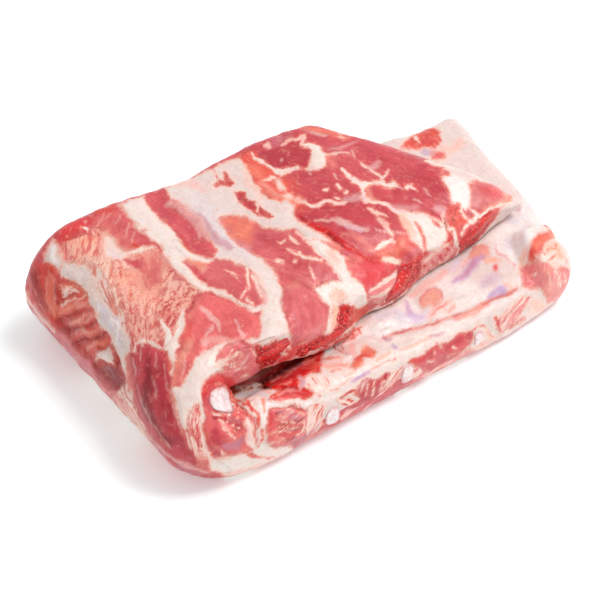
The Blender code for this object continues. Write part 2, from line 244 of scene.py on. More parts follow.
@dataclass(frozen=True)
class FoldedSheet:
    """The slab as one sheet folded into a U on its side: the solid's shape, finely meshed.

    A station runs along the sheet: 0 at the lower leaf's free end, 1 and 2 where the fold starts
    and ends, 3 at the upper leaf's free end.
    """

    fold_height: float = 49.5
    fold_centre_x: float = 25.5
    fold_bulge: float = 1.6         # of the fold's lower half
    fold_hollow: float = 2.2        # of the bare muscle in the fold's side
    top_dip: float = 1.6            # of the outer face near the fold
    top_swell: float = 1.4          # of the outer face's middle
    tip_droop: float = 5.0
    crease_x: float = 35.0
    crease_z: float = 27.0
    leaf_gap: float = 1.0
    tip_gap: float = 1.5            # what the slit gains towards the free ends
    crevice_radius: float = 1.6
    mouth_x: float = 50.0
    mouth_opening: float = 7.0
    floor_level: float = 22.5
    rib_ridge: float = 1.2          # of the floor over each rib
    lip_groove: float = 1.3         # between the front lip and the floor
    curl: float = 6.5               # of the lower leaf's front corner
    front_corner: float = 13.0      # radii of the free ends' corners
    back_corner: float = 7.0
    upper_corner: float = 3.0
    back_round: float = 8.0
    lower_end_round: float = 10.0
    end_level: float = 0.35         # how high in the sheet the free ends' rims lie, as a share
    back_level: float = 0.5
    edge_power: float = 2.3         # roundness of the sheet's edges
    sawn_power: float = 1.5         # the same over the sawn face, which is blunter
    spacing: float = 0.85           # between mesh columns
    front_rows: int = 30
    field_rows: int = 100
    back_rows: int = 10
    end_columns: int = 9
    floor_rows: int = 45            # rows of the floor that show
    outer_seen_from: float = 0.93   # stations between which every row is kept
    floor_seen_to: float = 0.45
    hidden_start: int = 4           # rows from the last fine one to the first coarse one
    hidden_step: int = 9            # rows to a step where nothing shows
    back_step: int = 3

    LOWER_END: Knots = ((0, 197), (15, 200), (30, 204.5), (50, 209.5), (80, 214), (105, 219),
                        (125, 222))
    UPPER_END: Knots = ((20, 207), (38, 198), (60, 185.5), (94, 164), (118, 147.5), (130, 140.5))
    LOWER_FRONT: Knots = ((20, 0.7), (35, -0.7), (60, -0.5), (120, 0), (150, -0.5), (180, -0.8),
                          (210, 2))
    LOWER_BACK: Knots = ((20, 124), (60, 124), (120, 121), (165, 115), (190, 112), (203, 113),
                         (214, 115.5), (222, 115.5))
    UPPER_FRONT: Knots = ((20, 21), (35, 20.5), (48, 19.5), (63, 20), (80, 21.5), (90, 25.5),
                          (102, 25.5), (113, 27), (122, 29.5), (141, 32), (156, 34), (171, 37),
                          (186, 39.5), (215, 44))
    UPPER_BACK: Knots = ((20, 125), (50, 125), (80, 121.5), (108, 122.5), (130, 123),
                         (145, 123.5), (160, 123), (220, 120))
    FRONT_LEVEL: Knots = ((0, 0.45), (0.7, 0.45), (1, 0.5), (1.5, 0.35), (1.8, 0.5), (2, 0.8))
    OUTER_ROUND: Knots = ((0, 7), (0.7, 7), (1, 9), (1.3, 17), (1.6, 22), (1.85, 20), (2.05, 11),
                          (2.18, 9), (2.32, 22), (2.6, 26), (3, 20))
    INNER_ROUND: Knots = ((0, 9), (0.5, 8), (0.85, 12), (1, 13), (1.5, 7), (1.8, 4), (2.1, 2.5),
                          (3, 1.8))
    SAWN_HEIGHT: Knots = ((20, 20), (40, 20), (56, 19.5), (66, 13), (79, 8.5), (89, 15),
                          (100, 10.5), (112, 8.5), (122, 16), (136, 13), (150, 10.5), (170, 9.5),
                          (186, 7), (205, 6))
    UPPER_END_ROUND: Knots = ((30, 22), (60, 18), (90, 11), (120, 8))
    TOP: Knots = ((20, 49.5), (60, 49), (110, 47.5), (160, 44), (200, 41), (215, 39))
    FLOOR_SAG: Knots = ((20, 1.5), (60, 0.5), (120, 0), (180, -1), (222, -3.5))
    LIP_CREST: Knots = ((20, 5), (36, 6), (50, 6), (66, 2.5), (90, -0.5), (130, -1.5), (220, -1.5))
    LIP_WIDTH: Knots = ((20, 17), (65, 18), (101, 18), (112, 14), (130, 10), (165, 6), (220, 5))
    FOLD_FRONT: Knots = ((1, 0.4), (1.25, 1.8), (1.5, 5.5), (1.75, 13), (2, 21))
    RIB_LINES: tuple[float, ...] = (67.5, 105.5, 143.0, 181.0)

    def lower_end(self, y: Array) -> Array:
        """Free end of the lower leaf at depth y, with its two round corners."""
        return (curve(y, self.LOWER_END) - corner_cut(y, self.front_corner)
                - corner_cut(115.0 - y, self.back_corner))

    def upper_end(self, y: Array) -> Array:
        """Slanted free end of the upper leaf at depth y."""
        return (curve(y, self.UPPER_END) - corner_cut(y - 37.0, self.upper_corner)
                - corner_cut(123.0 - y, self.upper_corner))

    def front_lip(self, x: Array, y: Array) -> Array:
        """Height of the thick lip along the lower leaf's front, over the floor.

        Args:
            x: Place along the leaf.
            y: Depth behind the slab's front.

        Returns:
            The lip's height at each place.
        """
        width = curve(x, self.LIP_WIDTH)
        groove = bell(y, width + 1.5, 2.4) * smooth(40, 75, x) * smooth(215, 170, x)
        lip = curve(x, self.LIP_CREST) * smooth(width + 3.0, width - 5.0, y)
        return lip - self.lip_groove * groove

    def end_curl(self, x: Array, y: Array) -> Array:
        """The lower leaf's front corner, curled up over the inner face."""
        reach = x - self.lower_end(np.maximum(y, 14.0))
        return self.curl * smooth(-25, -17, reach) * smooth(33, 24, y) * smooth(8, -8, reach)

    def floor_height(self, x: Array, y: Array) -> Array:
        """Inner face of the lower leaf, with low ridges over its ribs.

        Args:
            x: Place along the leaf.
            y: Depth behind the slab's front.

        Returns:
            Height over the table at each place.
        """
        ridge = sum(bell(x, centre, 9.0) for centre in self.RIB_LINES)
        level = self.floor_level + curve(x, self.FLOOR_SAG)
        return level + self.rib_ridge * ridge * smooth(8, 24, y)

    def leaf_opening(self, x: Array, y: Array) -> Array:
        """Height of the slit between the leaves, which gapes at the front near the fold."""
        mouth = bell(x, self.mouth_x, 17.0) * smooth(62, 16, y)
        return self.leaf_gap + self.mouth_opening * mouth + self.tip_gap * smooth(170, 205, x)

    def top_height(self, x: Array, y: Array) -> Array:
        """Outer face of the upper leaf.

        Args:
            x: Place along the leaf.
            y: Depth behind the slab's front.

        Returns:
            Height over the table at each place.
        """
        dip = self.top_dip * bell(x, 82.0, 12.0) * smooth(20, 50, y)
        swell = self.top_swell * bell(x, 125.0, 26.0) * bell(y, 75, 30)
        droop = self.tip_droop * smooth(165, 205, x) * smooth(60, 35, y)
        return curve(x, self.TOP) - (dip - swell) - droop

    def front_edge(self, station: float, x: float) -> float:
        """Foremost line of the sheet at a station.

        Args:
            station: Place along the sheet.
            x: Place along the leaf.

        Returns:
            Depth of the edge.
        """
        if station < 1.0:
            return float(curve(x, self.LOWER_FRONT))
        if station > 2.0:
            return float(curve(x, self.UPPER_FRONT))
        return float(curve(station, self.FOLD_FRONT))

    def back_edge(self, station: float, x: float) -> float:
        """Rearmost line of the sheet at a station."""
        low, high = curve(x, self.LOWER_BACK), curve(x, self.UPPER_BACK)
        return float(blend(low, high, smooth(1.0, 2.0, station)))

    def faces_at(self, station: float, y: Array) -> tuple[Array, Array, Array, Array]:
        """Inner and outer point (x and z each) of the sheet at a station and depths y.

        Args:
            station: Place along the sheet.
            y: Depth behind the slab's front.

        Returns:
            The inner point's x and z, then the outer point's x and z.
        """
        high = station >= 1.5
        end_x = self.upper_end(y) if high else self.lower_end(y)
        share = np.clip(station - 2, 0, 1) if high else np.clip(1 - station, 0, 1)
        angle = (np.clip(station, 1.0, 2.0) - 1.5) * math.pi
        in_x = self.crease_x + share * (end_x - self.crease_x) - self.crevice_radius * np.cos(angle)
        hollow = (self.fold_hollow * smooth(1.42, 1.52, station) * smooth(1.76, 1.68, station)
                  * smooth(40, 52, y) * smooth(114, 100, y))
        reach = self.fold_centre_x + self.fold_bulge * bell(station, 1.3, 0.17) - hollow
        out_x = self.fold_centre_x + share * (end_x - self.fold_centre_x) - reach * np.cos(angle)
        radius = self.fold_height / 2
        if station > 2.0:
            out_z = self.top_height(out_x, y)
        elif station < 1.0:
            out_z = np.zeros_like(y)
        else:
            out_z = radius + (radius - hollow) * np.sin(angle)
        floor = self.floor_height(in_x, y)
        low_z = floor + self.front_lip(in_x, y) + self.end_curl(in_x, y)
        high_z = floor + self.leaf_opening(in_x, y)
        near = smooth(self.crease_x + 22, self.crease_x, in_x)
        in_z = blend(low_z, high_z, (1 + np.sin(angle)) / 2)
        in_z = in_z + near * (self.crease_z - (low_z + high_z) / 2) * smooth(14, 20, y)
        return in_x, in_z, out_x, out_z

    def stations(self) -> Array:
        """Stations of the mesh columns, about one spacing apart and closer at the free ends.

        Returns:
            The stations in order, from 0 to 3.
        """
        ease = 1 - np.cos(np.linspace(0, math.pi / 2, self.end_columns + 1))
        low_span = self.lower_end(MID_DEPTH) - self.fold_centre_x
        high_span = self.upper_end(MID_DEPTH) - self.fold_centre_x
        low_end = ease * self.lower_end_round / low_span
        high_end = ease * curve(MID_DEPTH, self.UPPER_END_ROUND) / high_span
        low = np.linspace(low_end[-1], 1, int(low_span / self.spacing))[1:-1]
        fold = np.linspace(1, 2, int(math.pi * self.fold_height / 2 / self.spacing))
        high = np.linspace(2, 3 - high_end[-1], int(high_span / self.spacing))[1:-1]
        return np.concatenate([low_end, low, fold, high, 3 - high_end[::-1]])

    def depth_rows(self, first: float, last: float, front_round: float) -> Array:
        """Depths of the mesh rows from the front edge to the back edge, closer at both.

        Args:
            first: Depth of the front edge.
            last: Depth of the back edge.
            front_round: How far the front edge's rounding reaches in.

        Returns:
            The depths in order.
        """
        front = front_round * (1 - np.cos(np.linspace(0, math.pi / 2, self.front_rows + 1)))
        back = self.back_round * (1 - np.cos(np.linspace(0, math.pi / 2, self.back_rows + 1)))
        middle = np.linspace(first + front_round, last - self.back_round, self.field_rows + 1)
        return np.concatenate([first + front, middle[1:-1], last - back[::-1]])

    def column(self, station: float, outer: bool) -> Array:
        """Points of one mesh column of the outer or inner face, front to back.

        Args:
            station: Place along the sheet.
            outer: Whether it lies on the outer face.

        Returns:
            One point for each row.
        """
        x = float(self.faces_at(station, np.array([MID_DEPTH]))[2][0])
        first, last = self.front_edge(station, x), self.back_edge(station, x)
        front_round = float(curve(station, self.OUTER_ROUND if outer else self.INNER_ROUND))
        y = self.depth_rows(first, last, front_round)
        in_x, in_z, out_x, out_z = self.faces_at(station, y)
        if station < 1.5:
            end_x, end_round = self.lower_end(y), self.lower_end_round
        else:
            end_x, end_round = self.upper_end(y), curve(y, self.UPPER_END_ROUND)
        from_end = end_x - out_x
        blunt = smooth(2.2, 2.35, station) if outer else 0.0
        power = blend(self.edge_power, self.sawn_power, blunt)
        keep = (rounded(y - first, front_round, power) * rounded(last - y, self.back_round)
                * rounded(from_end, end_round))
        level = float(curve(station, self.FRONT_LEVEL))
        if station > 2.0:
            sawn = curve(x, self.SAWN_HEIGHT) / (out_z - in_z)
            level = blend(level, sawn, smooth(2.0, 2.1, station))
        level = blend(level, self.end_level, smooth(end_round, 0, from_end))
        level = blend(level, self.back_level, smooth(2 * self.back_round, 0, last - y))
        share = level + (1 - level) * keep if outer else level - level * keep
        return np.stack([blend(in_x, out_x, share), y, blend(in_z, out_z, share)], axis=-1)

    @property
    def row_count(self) -> int:
        """Rows of a full column, from the front edge to the back edge."""
        return self.front_rows + self.field_rows + self.back_rows + 1

    def row_choice(self, station: float, outer: bool) -> list[int]:
        """Rows that a column keeps: all where it shows, few where it is hidden.

        Args:
            station: The column's place along the sheet.
            outer: Whether the column lies on the outer face.

        Returns:
            The rows' numbers from front to back, the first and the last among them.
        """
        count = self.row_count
        if station > self.outer_seen_from if outer else station < self.floor_seen_to:
            return list(range(count))
        fine = self.front_rows + (self.floor_rows if not outer and station < 1.0 else 0)
        coarse = range(fine + self.hidden_start, count - self.back_rows, self.hidden_step)
        last = range(count - self.back_rows, count, self.back_step)
        return [*range(fine + 1), *coarse, *last]

    def surface(self) -> Surface:
        """Closed mesh of the sheet: an outer and an inner grid that share their border.

        Returns:
            The mesh with its tags.
        """
        stations = self.stations()
        count = self.row_count
        last_column = len(stations) - 1
        travelled = self.travelled(stations)
        points: list[Array] = []
        laid: list[Array] = []
        tags: list[tuple[float, int, bool]] = []
        numbers: dict[tuple[bool, int, int], int] = {}
        for outer in (True, False):
            for i, station in enumerate(stations):
                column = self.column(float(station), outer)
                flat = self.unfolded(float(station), column, travelled[i])
                for j in range(count):
                    on_border = i in (0, last_column) or j in (0, count - 1)
                    if on_border and not outer:
                        numbers[(outer, i, j)] = numbers[(True, i, j)]
                        continue
                    numbers[(outer, i, j)] = len(points)
                    points.append(column[j])
                    laid.append(flat[j])
                    tags.append((float(station), j, outer))
        faces: list[tuple[int, ...]] = []
        for outer in (True, False):
            chosen = [list(range(count)) if i in (0, last_column)
                      else self.row_choice(float(s), outer) for i, s in enumerate(stations)]
            for rows in chosen:
                if rows[-1] != count - 1:
                    rows.append(count - 1)
            for i in range(last_column):
                faces += self.strip(numbers, outer, i, chosen[i], chosen[i + 1])
        return self.without_loose(np.array(points), np.array(laid), faces, tags)

    def travelled(self, stations: Array) -> Array:
        """Way along the sheet's outer face to each station.

        Args:
            stations: The mesh columns' stations.

        Returns:
            One length for each station.
        """
        middle = np.array([MID_DEPTH])
        path = np.array([np.ravel(self.faces_at(float(s), middle)[2:]) for s in stations])
        return np.concatenate([[0.0], np.cumsum(np.linalg.norm(np.diff(path, axis=0), axis=1))])

    def unfolded(self, station: float, column: Array, travelled: float) -> Array:
        """Where a column's points lie in the sheet laid flat, and the way through the sheet.

        Args:
            station: The column's place along the sheet.
            column: Its points.
            travelled: Way along the sheet's outer face to the column.

        Returns:
            Six numbers for each point: way along the sheet, depth and height in it, and the
            direction through the sheet there.
        """
        in_x, in_z, out_x, out_z = self.faces_at(station, column[:, 1])
        through = np.stack([out_x - in_x, np.zeros_like(in_x), out_z - in_z], axis=-1)
        through /= np.linalg.norm(through, axis=1, keepdims=True)
        inner = np.stack([in_x, column[:, 1], in_z], axis=-1)
        height = np.sum((column - inner) * through, axis=1)
        place = np.stack([np.full(len(column), travelled), column[:, 1], height], axis=-1)
        return np.hstack([place, through])

    @staticmethod
    def strip(numbers: dict[tuple[bool, int, int], int], outer: bool, i: int,
              rows: list[int], next_rows: list[int]) -> list[tuple[int, ...]]:
        """Faces between two neighbouring columns that may keep different rows.

        Args:
            numbers: Vertex number of each place in the grids.
            outer: Whether the strip lies on the outer face.
            i: Number of the first column.
            rows: Rows that it keeps.
            next_rows: Rows that the next column keeps.

        Returns:
            Vertex numbers of each face.
        """
        faces: list[tuple[int, ...]] = []
        a = b = 0
        while a < len(rows) - 1 or b < len(next_rows) - 1:
            here, there = numbers[(outer, i, rows[a])], numbers[(outer, i + 1, next_rows[b])]
            after = rows[a + 1] if a < len(rows) - 1 else math.inf
            next_after = next_rows[b + 1] if b < len(next_rows) - 1 else math.inf
            if after == next_after and rows[a] == next_rows[b]:
                a, b = a + 1, b + 1
                face = (here, numbers[(outer, i, rows[a])],
                        numbers[(outer, i + 1, next_rows[b])], there)
            elif after <= next_after:
                a += 1
                face = (here, numbers[(outer, i, rows[a])], there)
            else:
                b += 1
                face = (here, numbers[(outer, i + 1, next_rows[b])], there)
            faces.append(face if outer else face[::-1])
        return faces

    @staticmethod
    def without_loose(points: Array, laid: Array, faces: list[tuple[int, ...]],
                      tags: list[tuple[float, int, bool]]) -> Surface:
        """The surface with only the vertices that its faces use.

        Args:
            points: All vertices.
            laid: Their six numbers in the sheet laid flat.
            faces: Vertex numbers of each face.
            tags: Station, row and side of each vertex.

        Returns:
            The surface.
        """
        used = np.zeros(len(points), bool)
        used[np.concatenate([np.array(face) for face in faces])] = True
        renumbered = np.cumsum(used) - 1
        kept = [tuple(int(renumbered[v]) for v in face) for face in faces]
        station, row, outer = (np.array(part) for part in zip(*tags))
        return Surface(points[used], kept, station[used], row[used], outer[used],
                       laid[used, :3], laid[used, 3:])


# ---------------------------------------------------------------- mesh helpers

def mesh_from(name: str, points: Array, faces: list[tuple[int, ...]]) -> bpy.types.Mesh:
    """Smooth-shaded mesh in the part's frame, its faces turned out, from points in millimetres.

    Args:
        name: The mesh's name.
        points: Its vertices.
        faces: Vertex numbers of each face.

    Returns:
        The mesh.
    """
    mesh = bpy.data.meshes.new(name)
    mesh.from_pydata(((points - ORIGIN) * MM).tolist(), [], faces)
    mesh.update()
    mesh.shade_smooth()
    turned = bmesh.new()
    turned.from_mesh(mesh)
    bmesh.ops.recalc_face_normals(turned, faces=turned.faces[:])
    turned.to_mesh(mesh)
    turned.free()
    return mesh


def place(name: str, mesh: bpy.types.Mesh, material: bpy.types.Material) -> bpy.types.Object:
    """Object for a mesh, with one material.

    Args:
        name: The object's name.
        mesh: Its mesh.
        material: Its finish.

    Returns:
        The object, linked to the scene.
    """
    mesh.materials.append(material)
    piece = bpy.data.objects.new(name, mesh)
    bpy.context.scene.collection.objects.link(piece)
    return piece


def normals_of(mesh: bpy.types.Mesh) -> Array:
    """Vertex normals of a mesh.

    Args:
        mesh: The mesh.

    Returns:
        A unit vector for each vertex.
    """
    values = np.zeros(len(mesh.vertices) * 3, np.float32)
    mesh.vertex_normals.foreach_get("vector", values)
    return values.reshape(-1, 3).astype(float)


def set_attribute(mesh: bpy.types.Mesh, name: str, values: Array) -> None:
    """Store a value, a vector or a colour per vertex under a name.

    Args:
        mesh: The mesh.
        name: The attribute's name.
        values: One row for each vertex.
    """
    if values.ndim == 1:
        layer = mesh.attributes.new(name, "FLOAT", "POINT")
        layer.data.foreach_set("value", values.astype(np.float32))
    else:
        layer = mesh.attributes.new(name, "FLOAT_VECTOR", "POINT")
        layer.data.foreach_set("vector", values.astype(np.float32).ravel())


# ---------------------------------------------------------------- painting

class Kind(Enum):
    """What a mark does to the surface."""

    FAT = "fat"             # fat lies here
    MUSCLE = "muscle"       # muscle lies here
    STREAKY = "streaky"     # muscle and fat in streaks along the fibres
    TINT = "tint"           # another tone, muscle or fat as it was
    FILM = "film"           # thin membrane over what is there
    BONE = "bone"           # sawn spongy bone
    FORM = "form"           # relief only


TONES = {
    "rose": "d4656b", "rose_soft": "da7678", "rose_deep": "c8545c", "rose_dark": "b8444e",
    "crimson": "a02a36", "pink": "db6668", "pink_bright": "e25c60", "pink_soft": "e67876",
    "pink_pale": "f0a09c", "pink_milk": "ee8c8e", "petal": "dc8e89", "salmon": "ea9484",
    "salmon_deep": "df827b", "orange": "f29478", "orange_red": "e4695c", "orange_pale": "f4b49c",
    "brick": "d85448", "brick_dark": "b03430", "rust": "ee8468", "plum": "963040",
    # The near-black red 3a0608 is painted shade, for the crevice under the upper leaf.
    "umber": "b02c32", "blood": "dc2a2e", "blood_dark": "7a1018", "crevice_shade": "3a0608",
    "scarlet": "e65052", "cream": "ecddd6", "white": "efe5e1", "membrane": "e4d2cd",
    "ivory": "efd6c6", "peach": "f0b8a0", "sand": "ecd2c0", "fawn": "dc9a88",
    "film_grey": "d9c9c4", "film_blue": "d8cedc", "lilac": "c89ac0", "violet": "b088b8",
    "mauve": "c88e9a", "blush": "f0b8b0", "tan": "eaa596", "shell": "f0d4ca",
}


@dataclass(frozen=True)
class Mark:
    """One brush mark, drawn in the photograph's frame.

    The path is pairs of pixels. A third number is the mark's width there, and makes the mark a
    line; without widths the path is the outline of an area. Strokes of one mark are parted by |.
    """

    kind: Kind
    tone: str
    path: str
    soft: float = 0.6               # blur of its edge, in millimetres
    amount: float = 1.0             # strength of a tint, film or streaks
    under: str = ""                 # fat's tone, where the tone is the muscle's
    lift: float = 0.0               # relief in millimetres
    grain: tuple[float, float] | None = None    # fibres' direction in the photograph


def fat(tone: str, path: str, **more: object) -> Mark:
    """Mark of fat."""
    return Mark(Kind.FAT, tone, path, **more)


def muscle(tone: str, path: str, **more: object) -> Mark:
    """Mark of muscle."""
    return Mark(Kind.MUSCLE, tone, path, **more)


def streaky(tone: str, under: str, path: str, **more: object) -> Mark:
    """Mark of muscle and fat in streaks."""
    return Mark(Kind.STREAKY, tone, path, under=under, **more)


def tint(tone: str, path: str, **more: object) -> Mark:
    """Mark that changes the tone only."""
    return Mark(Kind.TINT, tone, path, **more)


def film(tone: str, path: str, **more: object) -> Mark:
    """Mark of thin membrane."""
    return Mark(Kind.FILM, tone, path, **more)


def bone(tone: str, path: str, **more: object) -> Mark:
    """Mark of sawn bone."""
    return Mark(Kind.BONE, tone, path, **more)


def form(lift: float, path: str, **more: object) -> Mark:
    """Mark of relief."""
    return Mark(Kind.FORM, "", path, lift=lift, **more)


LEFT_END = (
    # The fold's top: strands of fat over salmon muscle.
    streaky("fawn", "sand", "95,232 110,228 125,246 122,262 124,290 126,320 130,350 122,345 "
        "118,330 100,300 88,280 75,262 60,258 56,246 80,240", soft=1.6, grain=(-0.1, 1)),
    streaky("rose", "fawn", "122,244 140,248 160,248 162,270 160,300 158,322 164,345 150,343 "
        "135,350 127,352 124,320 122,290 118,264", soft=1.6, grain=(0.15, 1)),
    streaky("rose_deep", "fawn", "158,250 170,265 180,280 200,290 197,300 190,312 182,318 "
        "178,335 168,346 160,340 156,318 157,296 160,276", soft=1.6, grain=(-0.6, 1)),
    streaky("salmon_deep", "orange_pale", "118,270 128,268 140,272 150,280 158,290 162,300 "
        "156,310 148,318 138,312 130,300 120,292 114,282", soft=2.4, amount=0.7, grain=(0.1, 1)),
    tint("orange", "118,275,8 126,279,8 134,277,6", soft=3, amount=0.6),
    # Red muscle along the back, ragged where its fibres run out into the fat.
    muscle("rose", "55,250 57,240 62,229 72,220 86,212 101,206 118,203 127,213 133,223 140,231 "
        "150,239 160,246 152,248 140,247 128,250 120,248 113,238 104,230 96,226 91,234 86,240 "
        "76,246 66,248", soft=1.6, amount=1.1, grain=(-0.5, 1)),
    streaky("salmon_deep", "peach", "56,252 58,242 66,238 76,238 86,234 94,226 101,228 103,240 "
        "100,252 94,258 84,258 72,260 60,262", soft=1.2, amount=1.5, grain=(-0.15, 1)),
    tint("salmon", "112,212,12 126,222,12 136,234,10 | 100,216,9 110,228,8", soft=4, amount=0.25),
    tint("brick", "60,240,9 68,234,13 78,226,9 | 96,214,7 112,208,7", soft=3, amount=0.75),
    tint("scarlet", "60,240,6 68,229,9 78,226,12 88,222,8", soft=3, amount=0.75),
    tint("blood", "66,238,5 70,243,5", soft=2, amount=0.5),
    tint("rust", "80,244,9 92,238,7", soft=2, amount=0.5),
    tint("salmon", "98,222,8 104,226,6 122,238,12 130,244,9", soft=4, amount=0.6),
    film("shell", "104,214,1 98,226,1.5 92,238,1.5 | 112,210,1 106,220,1.5 | 122,214,1 "
        "116,226,1.5 | 128,222,1.5 124,238,1.5 | 134,232,1.5 131,244,1.5", soft=0.5, amount=0.5),
    film("shell", "76,216,1.5 | 81,218,1.5 84,216,1 | 85,222,1.5 | 67,236,2 | 70,228,1.5 | "
        "61,234,1 | 73,222,1 | 90,217,1 | 79,223,1", soft=0.3, amount=0.8),
    fat("white", "81,227,2.5 85,228,3.5 88,230,3", soft=0.4, lift=0.4),
    fat("shell", "101,242 103,236 108,235 113,238 118,246 125,252 131,260 136,269 128,268 "
        "122,262 114,260 106,258 102,252", soft=2),
    tint("film_blue", "110,250,8 118,258,6", soft=2.5, amount=0.4),
    fat("cream", "124,255,2.5 132,252,3 142,250,3.5 150,249,3 156,248,2", soft=0.7, lift=0.3),
    muscle("salmon_deep", "138,256 148,252 158,252 164,262 163,275 160,286 150,292 144,288 "
        "140,276 136,264", soft=2.4, grain=(0.25, 1)),
    film("peach", "144,254,1.5 150,268,2 | 152,252,1.5 158,264,1.5 | 146,274,1.5 150,288,1.5",
        soft=0.8, amount=0.5),
    tint("peach", "148,256,9", soft=2, amount=0.5),
    muscle("rose", "123,260 129,257 139,257 141,266 139,271 131,267", soft=0.8, lift=-0.4),
    muscle("brick", "131,245,2 138,248,1.5 147,248,1.5 157,246,1.5", lift=-0.4),
    muscle("rose", "146,241,3 156,244,4 162,252,3", soft=1),
    # Single strands of fat and muscle.
    fat("blush", "123,286,2 125,296,3 126,303,2 | 127,304,2 125,313,2 | 133,303,2.5 132,313,2.5 "
        "134,322,2 | 138,298,1.5 142,306,3 144,316,2.5 143,323,2 | 151,302,2.5 150,312,2.5 "
        "149,320,1.5 | 135,289,1.5 137,296,1 | 113,280,2 110,290,2.5 109,298,1.5 | 120,316,1.5 "
        "124,312,2 | 104,270,1.5 106,280,2 103,288,1.5 | 96,262,2 97,274,2.5 94,282,1.5 | "
        "116,262,1.5 118,272,2 115,280,1.5 | 88,254,2 89,264,2.5 | 109,262,1.5 107,270,1.5",
        soft=0.5, lift=0.25),
    fat("tan", "128,322,2 126,334,3 128,344,2 | 137,326,2 138,338,2.5 | 143,324,2 145,334,2 | "
        "152,330,2 154,338,2 | 166,274,2.5 163,286,2 | 172,276,3 170,290,2.5 166,298,1.5 | "
        "184,284,2.5 180,294,2 | 176,284,2 172,294,1.5", lift=0.2),
    muscle("orange_red", "110,268,1.5 113,276,2 110,286,1.5 | 102,268,1.5 99,280,1.5 | "
        "120,262,1.5 122,268,1.5 | 96,272,1.5 | 129,290,1.5 130,300,2 | 118,284,2 121,298,1.5 | "
        "104,292,1.5 108,304,1.5"),
    muscle("rose_deep", "136,304,2 137,314,2 | 147,306,2.5 147,318,2.5 | 146,322,2 150,330,2.5 "
        "154,320,2 157,312,1.5 | 156,304,3 162,300,3 | 168,306,3 163,314,2.5 | 176,300,3.5 "
        "170,312,4 167,324,4.5 170,331,4 | 186,296,2.5 179,308,3 175,318,2.5 | 193,300,2 "
        "188,310,2.5", soft=0.7),
    muscle("brick_dark", "144,322,1 148,328,1 | 152,329,1.5 155,320,1.5 | 190,309,2 193,304,1.5 "
        "| 175,297,1.5 168,306,1.5 165,312,1 | 196,291,2 200,290,2 | 160,318,1 161,311,1", soft=0.4,
        lift=-0.5),
    fat("tan", "178,298,2 173,307,2 | 184,301,1.5 180,309,2 176,315,1.5 | 190,296,1.5 "
        "185,303,1.5 | 183,312,2 180,318,2 | 168,294,1.5 164,302,1.5", soft=0.4, lift=0.3),
    tint("film_grey", "186,268,8 178,282,9 168,292,7", soft=3, amount=0.3),
    # Membrane torn off along the fold: white where it is thick, wet and bluish lower down.
    fat("film_grey", "43,264 47,248 53,238 57,244 58,256 64,260 76,262 86,266 94,278 100,290 "
        "103,301 108,304 114,308 120,318 126,330 129,344 130,360 129,380 124,372 119,360 "
        "113,346 105,332 98,318 92,306 87,295 80,284 70,280 63,277 58,270 52,266", soft=1.4,
        lift=0.7),
    tint("white", "52,246,7 56,260,8", soft=2, amount=0.9),
    tint("membrane", "68,270,10 80,276,10", soft=2, amount=0.8),
    tint("sand", "92,284,8 98,296,8", soft=2, amount=0.6),
    tint("film_blue", "102,308,9 109,318,10 116,330,8 120,342,5", soft=2, amount=0.45),
    streaky("fawn", "film_grey", "84,262 96,264 106,276 112,292 116,304 124,314 130,330 132,346 "
        "124,342 119,326 110,308 100,296 92,280", soft=1.2, amount=1.5, grain=(0.25, 1)),
    film("sand", "62,258,2 61,268,2 | 70,257,2 68,268,2 | 78,258,2 77,266,1.5 | 86,256,2 "
        "86,266,1.5", amount=0.7),
    muscle("orange_red", "62,264,1 60,272,1.5 | 79,256,1 78,262,1 | 93,266,1.5 | 90,262,1"),
    fat("white", "97,314,3 94,316,2.5 | 99,308,1.5 98,312,2 | 85,288,1.5 88,296,2 | 116,322,2 "
        "118,334,2.5 116,342,1.5 | 112,318,1.5 114,326,1.5", soft=0.4, lift=0.6),
    fat("cream", "133,349,2 140,341,3 147,340,3.5 154,343,3.5 160,348,3.5 166,350,3", lift=0.5),
    fat("cream", "145,338,1.5 144,346,2 | 152,340,1.5 153,348,2 | 137,343,1.5 135,352,1.5 | "
        "160,346,2 163,352,1.5", soft=0.5),
)

